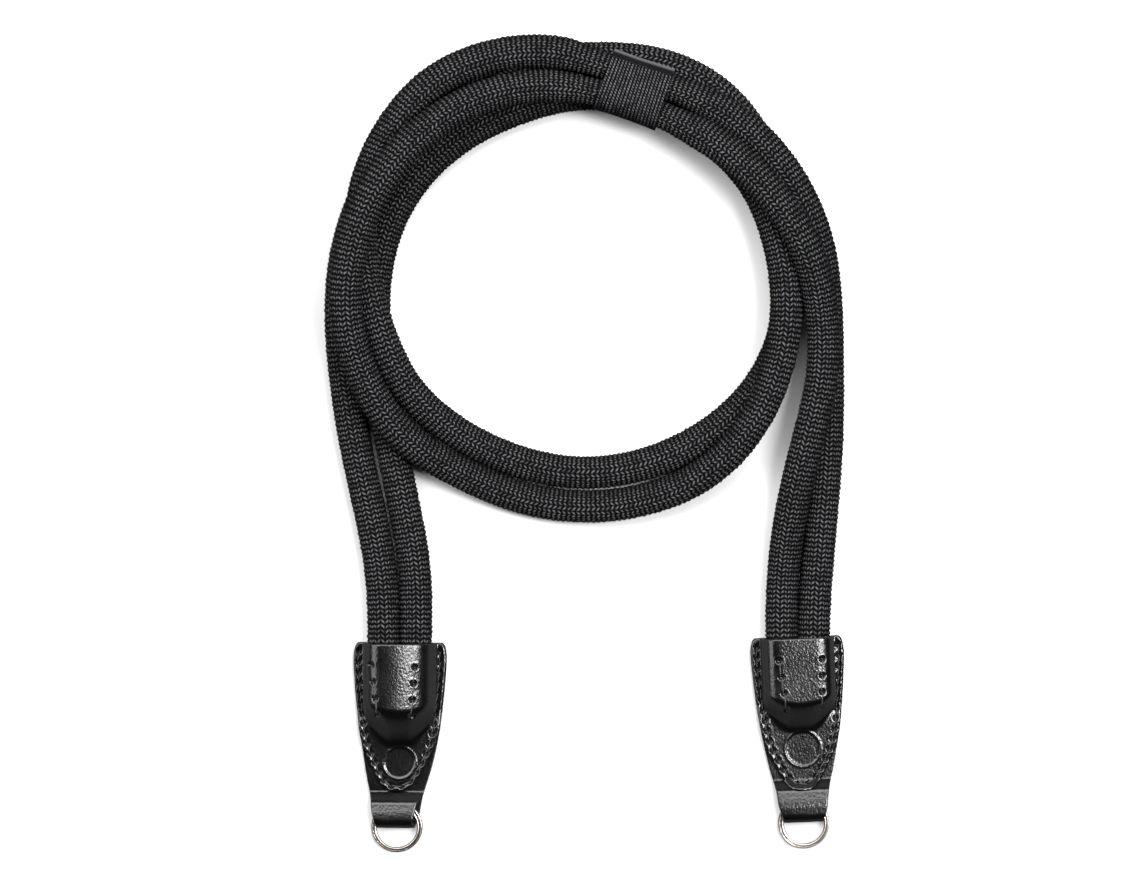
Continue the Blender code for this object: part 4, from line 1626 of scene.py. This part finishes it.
    def flap_thickness(self, down: np.ndarray) -> np.ndarray:
        """The flap's thickness, skived thin where the front covers it."""
        reached = down + self.place.early_rise
        share = smooth_step((reached - self.skive_end + self.skive_run) / self.skive_run)
        return self.flap_end_thickness + share * (self.thickness - self.flap_end_thickness)

    def front_level(self, down: np.ndarray) -> np.ndarray:
        """Works out the front's flat underside, which climbs over the flap's end.

        Args:
            down: Distances down.

        Returns:
            The underside's level there.
        """
        start = self.length - self.flap_length
        over = np.maximum(down, start)
        level = self.flap_underside(over) + self.flap_thickness(over) + self.layer_gap
        climb = smooth_step((down - start + self.front_climb) / self.front_climb)
        return self.base + climb * (level - self.base)

    def punched(self, spots: np.ndarray, holes: np.ndarray) -> np.ndarray:
        """Works out how awl holes dent the leather, with the lip that each one raises.

        Args:
            spots: Across and down of places on the front.
            holes: The same for the holes.

        Returns:
            Heights over the leather's face at the places.
        """
        change = np.zeros(len(spots))
        for hole in holes:
            away = np.hypot(*(spots - hole).T) / self.hole_radius
            change -= self.hole_depth * np.exp(-(away**4))
            change += self.hole_lip * self.hole_depth * ridge(away - self.hole_lip_at, self.hole_lip_width)
        return change

    def relief(self, across: np.ndarray, down: np.ndarray) -> np.ndarray:
        """Height of everything pressed or sewn into the front's top face.

        Args:
            across: Distances across.
            down: Distances down.

        Returns:
            Heights over the moulded form, mostly below zero.
        """
        spots = np.stack([across, down], axis=1)
        to_edge = nearest_distance(spots, self.edge_line[::2])
        to_seam = nearest_distance(spots, self.stitch_line[::2])
        change = -self.rim_drop * rounded_over((self.rim_width - to_edge) / self.rim_width)
        change += self.lip_height * ridge(to_edge - self.lip_inset, self.lip_width)
        change -= self.groove_depth * ridge(to_seam, self.groove_width)
        for holes in (self.holes, *(row.places() for row in self.place.rows)):
            change += self.punched(spots, holes)
        upper = (self.upper_rim_width - down) / self.upper_rim_width
        change -= self.upper_rim_drop * rounded_over(upper)
        badge = self.place.badge
        from_rim = np.hypot(across - badge[0], down - badge[1]) - self.place.badge_radius
        change += self.badge_rim_height * ridge(from_rim, self.badge_rim_width)
        outside = smooth_step((from_rim + self.badge_step) / self.badge_step_run)
        return change - self.badge_sink * (1.0 - outside)

    def front_row(self, down: float, profile: np.ndarray) -> np.ndarray:
        """One straight row of the front's mesh, from its left edge to its right one.

        The row follows the dome's profile over the ropes, and past the nose it is even.

        Args:
            down: Where the row lies.
            profile: Distances across of the dome's profile, falling to 0.

        Returns:
            Across and down of each point.
        """
        half = float(self.front_half_width(down))
        narrow = 1.0 - self.nose_narrowing * float(self.fading(down))
        inside = half - FRONT_STEPS[-1]
        rim = np.linspace(inside, profile[0] * narrow, FLANGE_POINTS + 1, endpoint=False)[1:]
        moulded = np.concatenate([rim, profile * narrow])
        even = np.linspace(inside, 0.0, len(moulded) + 1)[1:]
        nose = self.place.nose_end
        past = float(smooth_step((down - self.even_from * nose) / (self.even_run * nose)))
        across = np.concatenate([half - FRONT_STEPS, moulded + past * (even - moulded)])
        full = np.concatenate([-across, across[-2::-1]])
        return np.stack([full, np.full_like(full, down)], axis=1)

    def badge_rings(self, border: np.ndarray) -> list[np.ndarray]:
        """Shrinks the border of the front's tip to circles round the badge.

        Args:
            border: Across and down of the border's points.

        Returns:
            The same for each ring, with the outermost one first.
        """
        badge = np.array(self.place.badge)
        angle = np.arctan2(border[:, 1] - badge[1], border[:, 0] - badge[0])
        circle = self.badge_reach * np.stack([np.cos(angle), np.sin(angle)], axis=1)
        rim = 1.0 - FRONT_STEPS[1:] / self.badge_reach
        shares = np.concatenate([rim, np.linspace(*self.even_rings, BADGE_RINGS)])
        rings = []
        for share in shares:
            straight = badge + share * (border - badge)
            turned_round = smooth_step((self.round_from - share) / self.round_run)
            rings.append(straight + turned_round * (badge + share * circle - straight))
        return rings

    def front_plan(self) -> tuple[dict[Face, np.ndarray], list[list[int]], list[int]]:
        """Lays out the front's mesh: straight rows over the ropes, and rings round the badge at the tip.

        Returns:
            Across and down of each point for both faces of the leather, the mesh's faces, and the
            border's points in order.
        """
        even = np.arange(self.grid_start, self.patch_start, self.grid)
        rows = np.concatenate([FRONT_STEPS, even, [self.patch_start]])
        grids = {}
        for face in Face:
            profile = self.dome_profile(face)[:, 0]
            grids[face] = np.stack([self.front_row(down, profile) for down in rows])
        high, wide = grids[Face.TOP].shape[:2]
        index = np.arange(high * wide).reshape(high, wide)
        quads = np.stack([index[:-1, :-1], index[1:, :-1], index[1:, 1:], index[:-1, 1:]], axis=-1)
        faces = quads.reshape(-1, 4).tolist()
        lower = self.edge_line[self.edge_line[:, 1] > self.patch_start + 0.5 * self.grid]
        tip = spread(lower, round(run_along(lower)[-1] / self.grid))
        tip_index = np.arange(index.size, index.size + len(tip))
        rings = self.badge_rings(np.vstack([tip, grids[Face.TOP][-1, ::-1]]))
        inside = np.vstack([tip, *rings, [self.place.badge]])
        places = {face: np.vstack([grid.reshape(-1, 2), inside]) for face, grid in grids.items()}
        outer = np.concatenate([tip_index, index[-1, ::-1]])
        first = index.size + len(tip)
        for _ in rings:
            inner = np.arange(first, first + len(outer))
            faces += np.stack([outer, np.roll(outer, -1), np.roll(inner, -1), inner], axis=1).tolist()
            first += len(outer)
            outer = inner
        middle = len(places[Face.TOP]) - 1
        faces += [[a, b, middle] for a, b in zip(outer.tolist(), np.roll(outer, -1).tolist())]
        border = np.concatenate([index[:, 0], tip_index, index[::-1, -1], index[0, -2:0:-1]])
        return places, faces, border.tolist()

    def build_front(self) -> bpy.types.Object:
        """Makes the moulded front.

        Returns:
            The front's object.
        """
        places, faces, border = self.front_plan()
        layers = []
        for face, plan in places.items():
            across, down = plan[:, 0], plan[:, 1]
            up = self.front_level(down) + self.dome_height(across, down, face)
            if face is Face.TOP:
                up = up + self.thickness + self.relief(across, down)
            layers.append(self.place.to_frame(self.leaned(across, down), down, up))
        shift = len(layers[0])
        closed = faces + [[i + shift for i in reversed(corners)] for corners in faces]
        closed += [[a, a + shift, b + shift, b] for a, b in zip(border, border[1:] + border[:1])]
        finish = MouldedLeather().material()
        front = add_mesh(self.place.named("moulded_front"), np.vstack(layers), closed, finish)
        front.data.set_sharp_from_angle(angle=self.sharp_angle)
        hand_over(front, Slot.LEATHER, self.place.named("end_front"))
        return front

    def back_path(self) -> np.ndarray:
        """The middle of the back strap's thickness from its upper edge round the fold to the flap's end.

        Returns:
            Rows of the distance down, the level, the slope's angle and the thickness.
        """
        half = self.thickness / 2
        even = np.arange(self.back_grid_start, self.fold_start, self.back_grid)
        flat = np.concatenate([BACK_STEPS[:-1], even])
        rows = [(down, half, 0.0, self.thickness) for down in flat]
        bend = self.fold_radius + half
        for turn in np.linspace(0.0, math.pi, FOLD_ROWS):
            down = self.fold_start + bend * math.sin(turn)
            rows.append((down, half + bend * (1 - math.cos(turn)), turn, self.thickness))
        flap = np.arange(self.fold_start - self.flap_grid, self.length - self.flap_length, -self.flap_grid)
        thickness = self.flap_thickness(flap)
        level = self.flap_underside(flap) + thickness / 2
        turns = math.pi + np.arctan(np.gradient(level, flap))
        return np.vstack([rows, np.stack([flap, level, turns, thickness], axis=1)])

    def back_ring(self, down: float, level: float, turn: float, thickness: float) -> np.ndarray:
        """The points once round the back strap's section: its outer face, then its inner one.

        Args:
            down: Where the middle of the leather is.
            level: Its height.
            turn: The leather's slope: 0 in the flat strap and about half a turn in the flap.
            thickness: The leather's thickness there.

        Returns:
            The points, in the frame.
        """
        half = float(self.half_width(down))
        trim = self.place.trim * float(smooth_step((turn - self.trim_turn) / self.trim_turning))
        trim *= float(smooth_step((down - self.trim_start) / self.trim_run))
        left, right = -half, half - trim
        even = np.linspace(left + BACK_STEPS[-1], right - BACK_STEPS[-1], BACK_COLUMNS)
        across = np.concatenate([left + BACK_STEPS[:-1], even, right - BACK_STEPS[-2::-1]])
        from_edge = np.minimum(across - left, right - across)
        soft = self.back_rim_drop * rounded_over((self.back_rim_width - from_edge) / self.back_rim_width)
        inner = thickness / 2 - soft * thickness / self.thickness
        outer = -inner
        if turn <= math.pi / 2:
            spots = np.stack([across, np.full_like(across, down)], axis=1)
            groove = ridge(nearest_distance(spots, self.stitch_line[::3]), self.groove_width)
            outer = outer + self.under_groove * self.groove_depth * groove
        reach = np.concatenate([outer, inner[::-1]])
        both_ways = self.leaned(np.concatenate([across, across[::-1]]), down)
        return self.place.to_frame(both_ways, down - reach * math.sin(turn), level + reach * math.cos(turn))

    def build_back(self) -> bpy.types.Object:
        """Makes the back strap with its fold and flap.

        Returns:
            The back's object.
        """
        rings = np.stack([self.back_ring(*row) for row in self.back_path().tolist()])
        finish = MouldedLeather().material()
        back = skin(self.place.named("folded_back"), rings, finish, ring=True, capped=True)
        back.data.set_sharp_from_angle(angle=self.sharp_angle)
        hand_over(back, Slot.LEATHER, self.place.named("end_back"))
        return back

    def stitch(self, start: np.ndarray, end: np.ndarray, face: Face) -> np.ndarray:
        """One stitch between two holes, as rings of points round the thread.

        Args:
            start: Across and down of the first hole.
            end: Across and down of the second one.
            face: Whether it lies on the front or under the back.

        Returns:
            The points in the frame, as an array of rings, sides and three coordinates.
        """
        share = np.linspace(0.0, 1.0, STITCH_RINGS)
        along = (end - start) / np.linalg.norm(end - start)
        beside = np.array([-along[1], along[0]])
        slant = (share - 0.5)[:, None] * self.stitch_slant * beside
        across, down = (start + share[:, None] * (end - start) + slant).T
        sink = self.stitch_sink * (2 * share - 1) ** 6
        if face is Face.TOP:
            leather = self.front_level(down) + self.dome_height(across, down, face) + self.thickness
            level = leather - self.thread_press - sink
        else:
            level = self.thread_radius + self.thread_gap + sink
        thick = self.thread_radius * (1.0 - self.thread_pinch * (2 * share - 1) ** 4)
        turn = np.linspace(0.0, math.tau, THREAD_SIDES, endpoint=False)
        out = np.cos(turn)[None, :] * thick[:, None]
        lift = np.sin(turn)[None, :] * thick[:, None]
        wide = across[:, None] + beside[0] * out
        deep = down[:, None] + beside[1] * out
        return self.place.to_frame(self.leaned(wide, deep), deep, level[:, None] + lift)

    def build_thread(self) -> bpy.types.Object:
        """Makes all stitches of the end as one mesh.

        Returns:
            The thread's object.
        """
        seams = [(self.holes, face) for face in Face]
        seams += [(row.places(), Face.TOP) for row in self.place.rows]
        stitches = [self.stitch(a, b, face) for holes, face in seams for a, b in zip(holes, holes[1:])]
        rings, sides = stitches[0].shape[:2]
        index = np.arange(rings * sides).reshape(rings, sides)
        beside = np.roll(index, -1, axis=1)
        quads = np.stack([index[:-1], index[1:], beside[1:], beside[:-1]], axis=-1).reshape(-1, 4)
        faces: list[list[int]] = []
        for first in range(0, len(stitches) * index.size, index.size):
            faces += (quads + first).tolist()
            faces += [(index[0] + first).tolist(), (index[-1, ::-1] + first).tolist()]
        points = np.concatenate(stitches).reshape(-1, 3)
        thread = add_mesh(self.place.named("end_thread"), points, faces, BondedThread().material())
        corner = np.zeros(len(thread.data.loops), dtype=np.int32)
        thread.data.loops.foreach_get("vertex_index", corner)
        local = corner % index.size
        pattern = np.stack([(local % sides) / sides, (local // sides) / (rings - 1)], axis=1)
        thread.data.uv_layers.new(name=PATTERN).data.foreach_set("uv", pattern.ravel())
        hand_over(thread, Slot.LEATHER)
        return thread

    def build(self) -> None:
        """Makes the whole end with its ring."""
        self.build_front()
        self.build_back()
        self.build_thread()
        SplitRing(self.place, self.length, self.thickness + self.fold_radius - self.ring_sag).build()


@dataclass
class SplitRing:
    """Two turns of wire, the upper one a little tighter than the lower, joined by a short step.

    Attributes:
        place: The leather end that holds it.
        down: Where its middle is below the end's upper edge, before it hangs further.
        level: Height of its middle.
        diameter: Over the wire.
        wire_width: Of the wire, seen from above.
        wire_height: Of the wire, seen from the side.
        turn_inset: How much smaller the upper turn's radius is.
        turn_gap: Between the turns.
        step_angle: Over which the wire climbs.
        start_angle: Where the wire starts, so that the step is hidden in the fold.
        segments: Mesh rows of one turn.
        sides: Points round the wire.
    """

    place: EndPlace
    down: float
    level: float
    diameter: float = 15.6 * MM
    wire_width: float = 0.88 * MM
    wire_height: float = 1.12 * MM
    turn_inset: float = 0.82 * MM
    turn_gap: float = 0.1 * MM
    step_angle: float = math.radians(26.0)
    start_angle: float = math.radians(100.0)
    segments: int = 120
    sides: int = 20

    def build(self) -> bpy.types.Object:
        """Makes the ring.

        Returns:
            The ring's object.
        """
        turns = np.linspace(0.0, 2 * math.tau - self.step_angle, 2 * self.segments)
        climb = smooth_step((turns - math.tau + self.step_angle) / self.step_angle)[:, None]
        corner = np.linspace(0.0, math.tau, self.sides, endpoint=False)
        middle = (self.diameter - self.wire_width) / 2
        radius = middle - self.turn_inset * climb + np.cos(corner) * self.wire_width / 2
        heading = (turns + self.start_angle)[:, None]
        across = self.place.ring_aside + radius * np.cos(heading)
        down = self.down + self.place.ring_down - radius * np.sin(heading)
        rise = (climb - 0.5) * (self.wire_height + self.turn_gap)
        up = self.level + rise + np.sin(corner) * self.wire_height / 2
        ring = skin(
            self.place.named("two_turn_ring"),
            self.place.to_frame(across, down, up),
            PlatedSpringSteel().material(),
            np.linspace(0.0, 1.0, self.sides + 1),
            turns / math.tau,
            ring=True,
            capped=True,
        )
        hand_over(ring, Slot.RING_STEEL, self.place.named("split_ring"))
        return ring


@dataclass(frozen=True)
class Softbox:
    """A soft light that faces the middle of the table.

    Attributes:
        name: The light's name.
        place: Its middle.
        size: Its width and height.
        power: In watts.
    """

    name: str
    place: Point
    size: tuple[float, float]
    power: float

    def hang(self) -> bpy.types.Object:
        """Makes the light.

        Returns:
            The light's object.
        """
        box = bpy.data.lights.new(self.name, "AREA")
        box.shape = "RECTANGLE"
        box.size, box.size_y = self.size
        box.energy = self.power
        light = bpy.data.objects.new(self.name, box)
        light.location = self.place
        light.rotation_euler = (-Vector(self.place)).to_track_quat("-Z", "Y").to_euler()
        bpy.context.collection.objects.link(light)
        return light


@dataclass
class Studio:
    """Table, light and camera of the picture, which looks straight down.

    Attributes:
        picture_width: Width of the picture, in its own dots.
        dots_per_metre: Scale of the picture in the plane of the ropes' middles.
        plane: Height of that plane.
        aim: The point under the picture's middle.
        distance: From the camera to that plane.
        sensor: Width of the camera's sensor, in millimetres.
        paper_reach: Half the width of the backdrop paper.
        paper_level: Its height, which keeps it clear of what lies on the table.
        room_light: Strength of the light from all round.
        softboxes: The lights over the table.
    """

    picture_width: int = 1146
    dots_per_metre: float = 3300.0
    plane: float = 4.9 * MM
    aim: tuple[float, float] = (-7.83 * MM, 2.73 * MM)
    distance: float = 1.2
    sensor: float = 36.0
    paper_reach: float = 2.5
    paper_level: float = -0.02 * MM
    room_light: float = 0.08
    softboxes: tuple[Softbox, ...] = (
        Softbox("far_softbox", (-0.1, 0.65, 1.15), (1.8, 0.8), 162.0),
        Softbox("left_softbox", (-1.1, 0.1, 1.0), (0.8, 0.8), 48.0),
        Softbox("right_softbox", (0.52, 0.05, 1.2), (0.27, 0.5), 92.0),
    )

    def camera(self) -> bpy.types.Object:
        """Makes the camera.

        Returns:
            The camera's object.
        """
        lens = bpy.data.cameras.new("top_camera")
        lens.sensor_width = self.sensor
        lens.lens = self.sensor * self.distance * self.dots_per_metre / self.picture_width
        camera = bpy.data.objects.new("top_camera", lens)
        camera.location = (*self.aim, self.plane + self.distance)
        bpy.context.collection.objects.link(camera)
        bpy.context.scene.camera = camera
        return camera

    def floor(self) -> bpy.types.Object:
        """Makes the sheet of paper.

        Returns:
            The paper's object.
        """
        ends = (-self.paper_reach, self.paper_reach)
        corners = np.array([[(x, y, self.paper_level) for x in ends] for y in ends])
        paper = skin("backdrop_paper", corners, BackdropPaper().material())
        return paper

    def room(self) -> None:
        """Sets the light that comes from all round, and how brightness is shown."""
        world = bpy.data.worlds.new("white_room")
        world.use_nodes = True
        back = world.node_tree.nodes["Background"]
        back.inputs["Color"].default_value = linear("#ffffff")
        back.inputs["Strength"].default_value = self.room_light
        bpy.context.scene.world = world
        bpy.context.scene.view_settings.view_transform = "Standard"

    def build(self) -> None:
        """Sets up the room and its lights."""
        self.floor()
        self.room()
        for softbox in self.softboxes:
            softbox.hang()


def main() -> None:
    """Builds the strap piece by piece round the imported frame."""
    logging.basicConfig(level=logging.INFO, format="%(message)s")
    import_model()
    studio = Studio()
    studio.camera()
    outer = RopeLine(OUTER_ROPE_ROUTE)
    inner = RopeLine(INNER_ROPE_ROUTE)
    keeper = KeeperBand(outer, inner)
    beside = inner.nearest(outer.read(outer.points, keeper.station))
    BraidedRope("outer_braided_rope", "outer_rope", outer, keeper.station, seed=3).build()
    BraidedRope("inner_braided_rope", "inner_rope", inner, beside, seed=8).build()
    keeper.build()
    KeeperHem(keeper).build()
    for place in (LEFT_END, RIGHT_END):
        LeatherEnd(place).build()
    studio.build()


if __name__ == "__main__":
    main()
